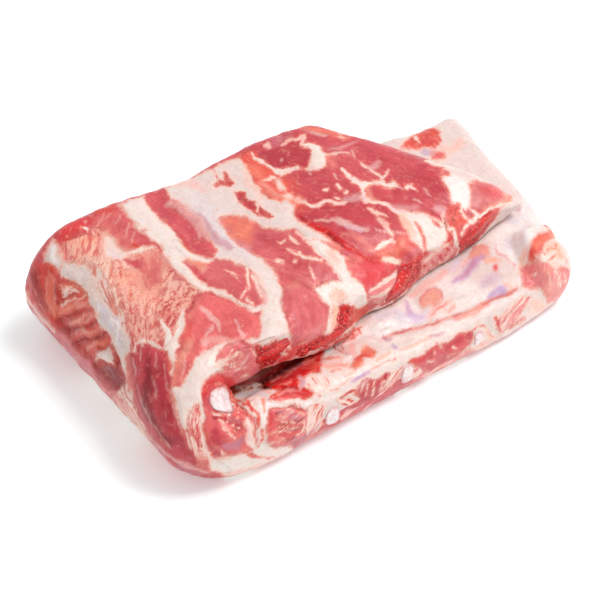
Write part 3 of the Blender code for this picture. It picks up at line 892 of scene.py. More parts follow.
WHITE_BANDS = (
    fat("cream", "118,206 130,200 143,196 150,211 161,219 171,229 179,241 187,250 200,257 "
        "214,260 206,264 196,262 186,258 181,262 190,270 200,280 209,288 203,293 193,287 "
        "183,276 175,270 168,262 163,251 158,245 150,240 141,233 133,224 126,215", soft=0.8,
        lift=0.5),
    fat("membrane", "165,188 182,179 200,174 216,168 240,157 246,167 251,178 257,189 268,197 "
        "281,203 286,200 293,206 292,214 300,222 312,228 330,240 318,241 305,240 297,228 "
        "283,231 262,226 256,222 246,217 230,216 218,218 228,234 240,247 256,256 270,266 "
        "278,276 281,290 281,302 285,318 291,335 288,341 275,342 262,346 246,341 259,337 "
        "262,325 263,311 267,300 264,288 256,276 247,268 236,263 231,260 214,259 217,251 "
        "211,240 200,224 190,210 178,202 170,200", soft=0.9, lift=0.4),
    tint("cream", "262,280,14 272,300,16 275,322,16 268,338,12", soft=3, amount=0.9),
    tint("film_blue", "200,200,14 225,240,12 245,252,12", soft=3, amount=0.35),
    tint("blush", "178,184,7 192,184,8 205,190,5", soft=2, amount=0.6),
    tint("orange_pale", "245,170,6 248,184,6 262,196,6", soft=2.5, amount=0.45),
    fat("cream", "304,238 318,240 334,249 346,257 347,268 352,276 361,284 368,291 369,303 "
        "357,308 349,303 342,305 334,308 331,303 333,320 331,332 325,334 329,318 328,308 "
        "320,298 313,290 324,284 341,281 333,269 322,258 312,248", soft=0.7, lift=0.4),
    tint("orange_pale", "330,252,8 336,262,8", soft=2, amount=0.6),
    # The red muscle that shows between two bands, with its lilac edge.
    muscle("rose", "143,198 153,193 163,188 167,196 169,203 178,206 186,213 192,221 197,229 "
        "200,237 203,246 207,250 217,251 213,254 203,254 194,251 187,243 181,234 172,226 "
        "161,219 151,211", soft=0.7, amount=0.5, lift=-0.6),
    film("mauve", "168,203,4 180,206,7 191,214,10 201,224,11 210,235,11 219,242,8 230,247,5",
        soft=1.6, amount=0.75),
    film("white", "200,235,3 197,228,2", amount=0.5),
    muscle("rose_deep", "215,172 219,179 222,180 224,172 227,172 228,179 234,183 230,187 "
        "224,185 219,185 214,188 213,185 217,180", soft=0.5, lift=-0.3),
    muscle("rose_deep", "232,192 240,190 246,193 250,200 258,203 264,209 273,217 268,219 "
        "258,217 249,212 243,205 237,201", soft=0.5, lift=-0.4),
    fat("shell", "257,205,3 256,212,2"),
    muscle("brick_dark", "143,230,2 147,230,2"),
    muscle("plum", "213,256,2 215,256,2"),
    muscle("brick", "169,257,1.5"),
    tint("peach", "331,296,6 336,291,5 342,294,5 338,299,4", soft=1.4, amount=0.9),
    film("shell", "322,286,2 331,283,3 341,282,2", soft=0.5, amount=0.8),
    muscle("salmon", "330,290,1 336,288,1.5 342,290,1 | 332,300,1 340,301,1.5 346,297,1"),
)

TOP_MUSCLES = (
    # Second muscle: orange where it thins out to the left.
    muscle("rose_soft", "216,218 230,216 244,217 253,219 259,224 266,228 280,231 290,229 "
        "298,226 301,232 308,238 312,244 319,251 326,259 334,269 343,281 334,281 324,283 "
        "317,287 313,291 305,285 297,280 285,274 275,269 265,262 255,256 243,248 233,240 "
        "224,237 232,232 221,227", soft=0.7, grain=(1, 0.45), lift=0.5),
    tint("orange", "220,219 232,217 246,218 254,224 252,234 248,246 234,241 226,236 232,231 "
        "222,227", soft=3, amount=0.9),
    tint("rose_deep", "262,240,14 280,248,18 300,264,14 318,275,10", soft=4, amount=0.6),
    fat("cream", "300,254,3 304,259,2.5 312,260,2.5 322,262,2"),
    fat("shell", "277,262,3 284,263,2.5 | 295,261,3 | 310,268,1.5 313,275,2 317,279,1.5 | "
        "288,236,1.5 294,241,2 300,246,1.5 | 296,232,2 304,240,1.5 | 280,243,2 284,241,1.5 | "
        "287,250,2 297,254,1.5 301,256,1"),
    # Oval muscle beside the fold.
    muscle("rose_soft", "171,240 181,243 192,251 203,258 215,261 231,260 240,265 249,270 "
        "255,277 259,284 265,291 268,299 264,308 254,308 247,306 238,301 228,296 217,291 "
        "208,287 207,278 205,270 197,266 187,260 178,250", soft=0.7, grain=(0.8, 0.5), lift=0.5),
    tint("orange_pale", "174,243,8 184,252,10 194,261,9 204,270,6", soft=1.6, amount=0.9),
    tint("orange_red", "186,248,6 200,262,10", soft=2.5, amount=0.5),
    tint("rose", "240,280,20 255,290,14", soft=4, amount=0.5),
    fat("shell", "245,265,2 247,273,3 248,284,2.5 249,290,2 | 249,286,1.5 243,295,2 239,300,1.5 "
        "| 225,270,1 232,274,1.5 238,281,1 | 255,281,1.5 258,288,2 262,297,1.5 | 253,277,2 "
        "262,285,1.5 | 247,299,1.5 252,304,2"),
    fat("cream", "199,290,4 212,290,4 224,294,4.5 236,301,5 247,307,5.5 256,310,5 265,307,5",
        lift=0.4),
    # Smooth muscle under it.
    muscle("pink_soft", "195,300 203,294 216,295 228,299 240,305 251,311 260,316 262,326 "
        "259,337 246,341 232,344 218,347 206,352 199,358 192,351 182,351 179,341 183,325 188,310",
        soft=1, grain=(0.5, 1), lift=0.8),
    tint("salmon", "196,302,10 190,315,8", soft=3, amount=0.6),
    tint("orange_red", "183,349,4 188,338,6 190,326,5", soft=1.4, amount=0.7),
    film("film_blue", "203,310,4 209,316,6 217,322,6 219,332,2 | 211,327,3 208,336,3 206,346,3",
        soft=0.8, amount=0.6),
    film("film_blue", "236,321,2 238,331,3 243,338,4", soft=0.7, amount=0.6),
    film("shell", "205,344,8 220,340,7 238,343,5", soft=1.5, amount=0.45),
    # Smooth muscle at the front edge.
    muscle("rose_soft", "284,286 291,283 300,283 311,289 320,298 327,308 329,320 326,332 "
        "317,337 304,343 294,346 291,335 289,322 284,311 280,300", soft=1.3, grain=(0.2, 1),
        lift=1.2),
    tint("salmon", "286,288,10 296,284,9", soft=3, amount=0.7),
    tint("pink_pale", "325,318,5 321,330,7 306,338,8", soft=2.5, amount=0.7),
    muscle("pink_bright", "346,260 354,254 366,259 380,261 392,263 399,269 396,277 388,281 "
        "376,284 369,290 361,284 352,275 346,267", soft=1.4, lift=1),
    tint("salmon", "350,260,7 360,260,7", soft=2.5, amount=0.7),
    streaky("pink_pale", "shell", "370,287 380,281 390,275 398,270 399,279 393,288 386,297 "
        "378,304 371,301 369,293", soft=0.8, amount=1.6, grain=(1, -0.8)),
    # The big muscle: its torn orange edge at the left.
    muscle("orange_red", "236,158 243,153 250,151 257,152 258,158 264,163 272,168 280,174 "
        "287,177 290,186 294,193 303,198 309,204 300,206 293,212 290,207 284,202 280,205 "
        "274,202 268,196 262,193 257,189 254,182 252,177 247,171 243,165", soft=1, grain=(0.8, 1)),
    tint("orange", "247,166,7 256,170,8 262,180,8", soft=2.5, amount=0.6),
    tint("orange_pale", "262,184,5 270,190,6 280,196,6 292,201,6", soft=2, amount=0.8),
    fat("shell", "263,180,1.5 269,178,2.5 275,178,2", soft=0.8),
    fat("cream", "277,180 281,179 284,184 287,189 283,189 279,187", soft=0.9),
    fat("shell", "284,195 287,192 292,192 294,196 291,199 286,198 | 294,199 299,197 304,199 "
        "309,204 303,204 298,203", soft=0.9),
    fat("shell", "255,186,3 262,196,3", soft=1.5),
    tint("rose_dark", "258,155 263,150 270,151 280,149 284,144 290,142 298,143 301,148 312,147 "
        "310,155 309,163 308,168 300,168 292,167 284,168 276,167 270,164 262,161", soft=1,
        amount=0.75),
    fat("cream", "250,153,1.5 255,158,2.5 262,162,2.5 270,166,3 275,170,5 282,172,6 289,171,5 "
        "297,168,3.5", lift=0.4),
    fat("blush", "283,144,1.5 288,141,2.5 296,140,2.5 300,137,3 304,138,4 303,144,3", soft=0.8),
    fat("blush", "267,145,4 270,147,4", soft=1),
    tint("mauve", "274,143,8 288,138,7", soft=3, amount=0.5),
    film("shell", "303,132,1.5 315,133,2 327,135,1.5", soft=0.5, amount=0.7),
    tint("orange", "297,127,4 310,128,5 322,130,5 335,133,5 345,138,4", soft=1.5, amount=0.7),
    fat("cream", "306,147 304,144 309,142 315,143 319,146 322,151 327,155 326,162 323,168 "
        "318,170 312,171 307,170 303,168 309,167 311,159 312,151 310,147", lift=0.6),
    tint("salmon", "329,158,7 334,165,7 331,156,5", soft=2, amount=0.8),
    film("shell", "325,156,2 333,155,3 341,152,2.5 348,154,2", amount=0.8),
    film("shell", "351,151,1.5 355,157,2.5", amount=0.7),
    film("mauve", "330,149,2 342,147,3 355,142,2.5", soft=1, amount=0.5),
    fat("blush", "340,134,2 343,138,2", soft=0.8),
    tint("rose_dark", "300,175,16 318,182,24 335,190,22 345,184,12", soft=6, amount=0.55),
    tint("orange_red", "288,180,10 296,190,10 300,210,10", soft=4, amount=0.6),
    fat("cream", "361,163,2 366,166,3 370,170,3 376,174,3 381,177,3.5"),
    fat("shell", "382,180,3 384,175,3 389,171,2", soft=0.8),
    film("lilac", "370,168,4 376,166,5 380,162,3", soft=1, amount=0.75),
    fat("cream", "342,169,2 345,174,3 350,177,4"),
    fat("cream", "349,176 356,178 362,181 370,182 378,182 384,180 389,183 394,182 397,186 "
        "390,188 382,187 374,186 368,187 365,192 365,198 371,200 365,203 361,199 360,191 "
        "358,185 352,181", soft=0.7, lift=0.4),
    fat("shell", "364,199,4 371,200,4 380,201,4 388,204,4 394,209,5 401,212,5 410,214,4", soft=0.8),
    tint("orange_pale", "368,190,7 371,196,6", soft=1.5, amount=0.7),
    tint("pink", "376,190,7 388,194,8", soft=3, amount=0.7),
    film("shell", "397,186,2 403,189,1.5", soft=0.7, amount=0.7),
    fat("cream", "407,188,3 411,186,3 414,189,2.5 417,192,1"),
    film("shell", "424,189,1.5 429,194,1.5 | 414,200,1.5 420,204,1.5", amount=0.7),
    film("lilac", "392,206,5 402,208,6 415,209,4", soft=1.8, amount=0.5),
    film("lilac", "436,208,5 443,210,8 443,216,5", soft=1.2, amount=0.65),
    muscle("rose_dark", "411,198,1 420,205,1.5 430,210,1.5 438,217,1.5 445,221,1", soft=0.4,
        lift=-0.5),
    fat("shell", "307,204,2 312,205,3.5 317,204,2 | 319,205,3 327,202,3 336,203,3.5 346,203,2"),
    film("lilac", "342,200,4 352,199,7 361,197,6", soft=1.5, amount=0.6),
    film("white", "331,218,3 341,221,5 350,225,6 360,228,5 369,230,3", soft=0.9, amount=0.75),
    tint("lilac", "350,226,4 362,229,4", soft=1, amount=0.5),
    film("orange_pale", "316,221,1.5 323,219,2 330,221,2 337,219,1.5", amount=0.8),
    fat("shell", "368,209,1.5 376,213,2.5 385,215,2 | 377,218,2 384,223,3.5 389,229,3.5 "
        "393,235,3"),
    film("shell", "374,230,1.5 388,231,2", amount=0.8),
    film("orange_pale", "393,232,1.5 404,233,2", amount=0.8),
    fat("shell", "325,190,3.5 328,190,3.5", soft=0.7),
    fat("shell", "337,184,3 341,188,2 | 345,193,3 | 337,197,3"),
    film("shell", "310,174,2.5", amount=0.7),
    film("shell", "334,174,2 336,178,2", amount=0.6),
    film("shell", "282,160,2.5", amount=0.7),
    tint("rose_deep", "372,155,24 400,165,22 430,180,20", soft=6, amount=0.6),
    tint("rose_deep", "330,212,14 350,214,14 385,222,14", soft=4, amount=0.5),
    tint("salmon", "352,234,7 362,240,8 372,250,6", soft=2.5, amount=0.6),
    # Deep groove between the big muscle and the band below it.
    muscle("blood", "300,215,2 306,221,3 316,225,4 326,230,6 334,236,7 344,243,6 354,250,5 "
        "364,256,5 374,260,5 384,262,3", soft=1, lift=-2),
    muscle("crimson", "302,217,2 306,220,2"),
    muscle("crimson", "328,232,3 336,239,4 344,245,3", soft=0.7),
    muscle("salmon", "312,231,5 324,237,6 338,246,4", soft=1.4),
    # Ragged edge with fat and orange over the third rib.
    muscle("orange_red", "372,252 380,247 388,243 395,238 406,235 413,240 418,247 412,252 "
        "404,256 398,262 388,264 378,259", soft=0.9),
    tint("orange", "388,252,8 398,250,8 404,244,7", soft=2, amount=0.6),
    fat("cream", "372,250,3 379,248,4.5 386,243,4 391,240,2", lift=0.5),
    fat("shell", "391,240,3 396,242,2"),
    fat("ivory", "385,259,5 391,260,7 398,261,6", soft=0.8),
    fat("cream", "399,213 408,213 416,213 424,215 431,219 439,222 447,226 448,233 445,241 "
        "441,248 436,252 430,253 424,252 419,247 414,240 409,234 404,227 401,220", soft=0.8,
        lift=0.5),
    tint("orange_pale", "402,217,7 407,226,7 412,235,5", soft=1.8, amount=0.8),
    muscle("salmon_deep", "416,225,3 420,232,4 423,240,4 425,249,2.5", soft=0.9),
    muscle("rose", "431,221,2 436,224,3 442,227,2", soft=0.7),
    muscle("rose", "426,164 435,164 443,167 450,172 454,174 446,177 440,173 434,170 428,168"),
    fat("white", "426,160,2.5 433,163,3 441,164,2.5 447,168,2 454,172,2.5"),
    fat("white", "441,172 447,176 452,174 462,176 468,180 470,190 471,205 467,212 459,207 "
        "452,204 450,197 449,190 445,184 442,178", soft=0.7, lift=0.3),
    muscle("orange_red", "447,208 456,203 460,206 460,212 464,216 470,221 461,226 455,230 "
        "449,226 449,218", soft=0.8),
    bone("orange_red", "448,212 456,208 459,214 462,220 455,226 450,222", soft=1, amount=0.6),
    fat("shell", "461,210,2 466,217,2.5 471,224,2 | 444,213,3 443,219,2 452,231,3"),
    muscle("blood_dark", "444,218,2 447,223,3 449,230,2", soft=0.5, lift=-1),
    # Pink patch at the pointed end.
    muscle("petal", "470,180 480,181 492,183 503,185 510,188 508,193 513,197 509,203 500,203 "
        "490,207 480,209 472,206 470,196", soft=1, lift=0.6),
    tint("pink_bright", "484,190,12 494,192,13 500,194,8", soft=3, amount=0.75),
    tint("orange_pale", "507,191,7 508,200,7 498,205,6 484,210,4", soft=1.5, amount=0.8),
    muscle("pink", "479,214 488,209 499,206 500,212 495,221 487,223 481,220", soft=0.7),
    fat("shell", "472,210,4 478,214,3 476,220,3"),
    fat("white", "456,168 464,172 470,178 468,186 460,180", soft=0.8),
    fat("membrane", "444,156 462,163 480,171 500,182 530,198 524,210 506,220 499,212 508,205 "
        "512,197 508,187 490,183 470,180 454,175 446,168"),
    fat("cream", "510,202,2.5 501,205,3 492,208,3 484,213,3 476,219,3 468,226,2.5 461,234,2",
        soft=0.5, lift=0.5),
    tint("rose_soft", "470,180,1.5 485,182,1.5 507,187,1.5", soft=0.4, amount=0.8),
)

FOLD_SIDE = (
    # Dark muscle at the far left, on the fold's side turned from the light: its own dark red,
    # deepened in part with painted shade.
    muscle("brick", "27,290 30,276 37,267 45,262 54,264 59,271 58,282 54,290 53,302 55,318 "
        "59,334 46,322 34,309 28,299", soft=0.5, grain=(0.12, 1), lift=0.6),
    tint("scarlet", "40,270,10 33,284,9 33,300,9", soft=3, amount=0.6),
    tint("crimson", "36,274,9 36,286,11 40,298,10 47,308,6", soft=2.5, amount=0.75),
    tint("rust", "52,276,7 51,290,6 52,302,6 56,316,5", soft=1.4, amount=0.9),
    tint("mauve", "34,308,6 44,320,8 54,331,6", soft=2, amount=0.6),
    # Pale peach strokes along the fibres: partly membrane, partly painted highlights.
    film("peach", "49,270,1.5 47,282,1.5 48,300,1.5 53,314,1.5 | 55,278,1 54,292,1.5 55,304,1 | "
        "35,303,1 44,314,1.5 | 40,303,1 48,315,1", soft=0.5, amount=0.3),
    fat("blush", "24,292,2.5 29,304,3 41,317,3 54,331,3", soft=0.8),
    fat("white", "24,277,3 23,286,3 27,293,3 | 29,296,1.5", soft=0.5, lift=0.3),
    # Muscle in the fold's hollow: bundles across, with creases between them.
    muscle("brick", "57,286 60,277 64,282 74,281 81,286 88,298 93,311 99,321 107,331 114,342 "
        "110,350 97,352 92,359 84,357 75,347 65,337 58,327 55,317 56,303", soft=0.35, amount=2.6,
        grain=(1, -0.36), lift=-1),
    # Lighter bands on the bundles and darker ones along the creases: partly the muscle's own tones,
    # partly painted light and painted crease shade.
    tint("rust", "60,288,6 72,284,8 82,292,8 | 60,311,6 72,306,9 86,302,7 | 72,322,4 86,317,5 "
        "97,315,4 | 80,336,4 94,331,4 | 92,347,5 104,343,6", soft=1.8, amount=0.8),
    tint("brick_dark", "60,322,5 72,318,4 | 64,330,8 76,328,4 | 74,344,7 88,341,5 104,336,4",
        soft=2, amount=0.6),
    form(-0.9, "57,303,3 66,296,4 76,292,3 85,289,2 | 57,319,3 68,314,4 80,311,4 92,308,3 | "
        "60,331,3 74,328,4 87,325,4 98,320,3 | 69,343,3 82,340,4 95,336,4 107,331,3", soft=0.3),
    # Dark lines in the creases: painted crease shade over the relief's grooves.
    muscle("brick_dark", "57,303,1.5 66,296,2 | 57,319,1.5 68,315,1.5 80,313,1 | 80,320,1 "
        "92,316,1 | 61,331,1.5 74,328,1.5 88,325,1.5 97,321,1 | 70,343,1.5 82,341,2 94,337,1.5 "
        "106,331,1.5", soft=0.4),
    fat("shell", "62,292,3 65,288,3 70,287,1.5 | 60,286,1.5 | 62,296,1.5 68,292,2 76,290,1.5",
        soft=0.5, lift=0.3),
    fat("blush", "60,306,1.5 66,302,2.5 73,300,2.5 79,298,1.5 84,294,1", soft=0.4, lift=0.4),
    # Pale peach streaks on the bundles: partly membrane, partly painted highlights.
    film("peach", "68,325,1.5 77,319,2.5 86,315,1.5 | 77,323,1 88,319,2 96,316,1 | 74,309,1 "
        "86,303,1.5 | 78,335,1.5 90,330,2 | 64,310,1 74,305,1.5 | 94,331,1 103,327,1.5 | "
        "84,350,1.5 96,344,1.5 | 72,332,1 82,329,1 | 70,288,1 80,285,1", soft=0.5, amount=0.7),
    muscle("blood", "74,297,1.5 76,298,2", soft=0.4),
    muscle("scarlet", "61,278,3 64,279,2.5", soft=0.4),
    muscle("umber", "91,362 99,358 107,364 113,366 116,350 121,359 124,372 124,388 118,393 "
        "109,389 99,379 93,370", soft=0.4, grain=(0.7, 1), lift=-0.9),
    tint("brick", "98,364,6 106,373,7", soft=2, amount=0.5),
    tint("plum", "104,370,9 110,374,10 118,384,9", soft=2, amount=0.95),
    film("blush", "104,368,1 112,378,1", soft=0.4, amount=0.3),
    muscle("brick_dark", "113,345,3 116,352,2 119,362,2 122,372,2", soft=0.4, lift=-0.5),
    muscle("orange_red", "114,346,1.5 | 118,356,1.5 116,359,1.5 | 114,366,1", soft=0.4),
    fat("membrane", "96,354 103,351 109,348 112,350 114,356 113,366 111,362 106,362 101,358 "
        "95,360", soft=0.4, lift=0.7),
    fat("white", "100,324,1.5 108,334,2 113,343,1.5 117,352,1 122,361,1.5 126,372,2", soft=0.4,
        lift=0.4),
    streaky("fawn", "film_grey", "116,392 126,380 130,386 133,400 141,415 150,433 163,449 "
        "150,442 135,427 120,410 110,398", soft=0.8, amount=1.6, grain=(0.75, 1)),
    fat("film_grey", "127,352,3 129,366,4 130,380,4 132,394,3", lift=0.3),
    fat("white", "118,392,1.5 124,402,1.5 134,412,1 | 122,390,1 130,404,1.5 140,420,1 | "
        "126,384,1.5 130,396,1.5", soft=0.4, lift=0.3),
    muscle("umber", "120,396,1 128,407,1.5 136,418,1 | 128,396,1 136,410,1.5 146,428,1", soft=0.4),
    tint("pink_pale", "60,334,7 75,352,8 90,369,8 105,386,8 122,404,6 140,422,5", soft=2,
        amount=0.7),
    tint("mauve", "64,344,5 80,361,5 98,380,5", soft=1.6, amount=0.5),
    fat("shell", "118,406,2 130,419,2 143,432,2 152,441,2"),
)

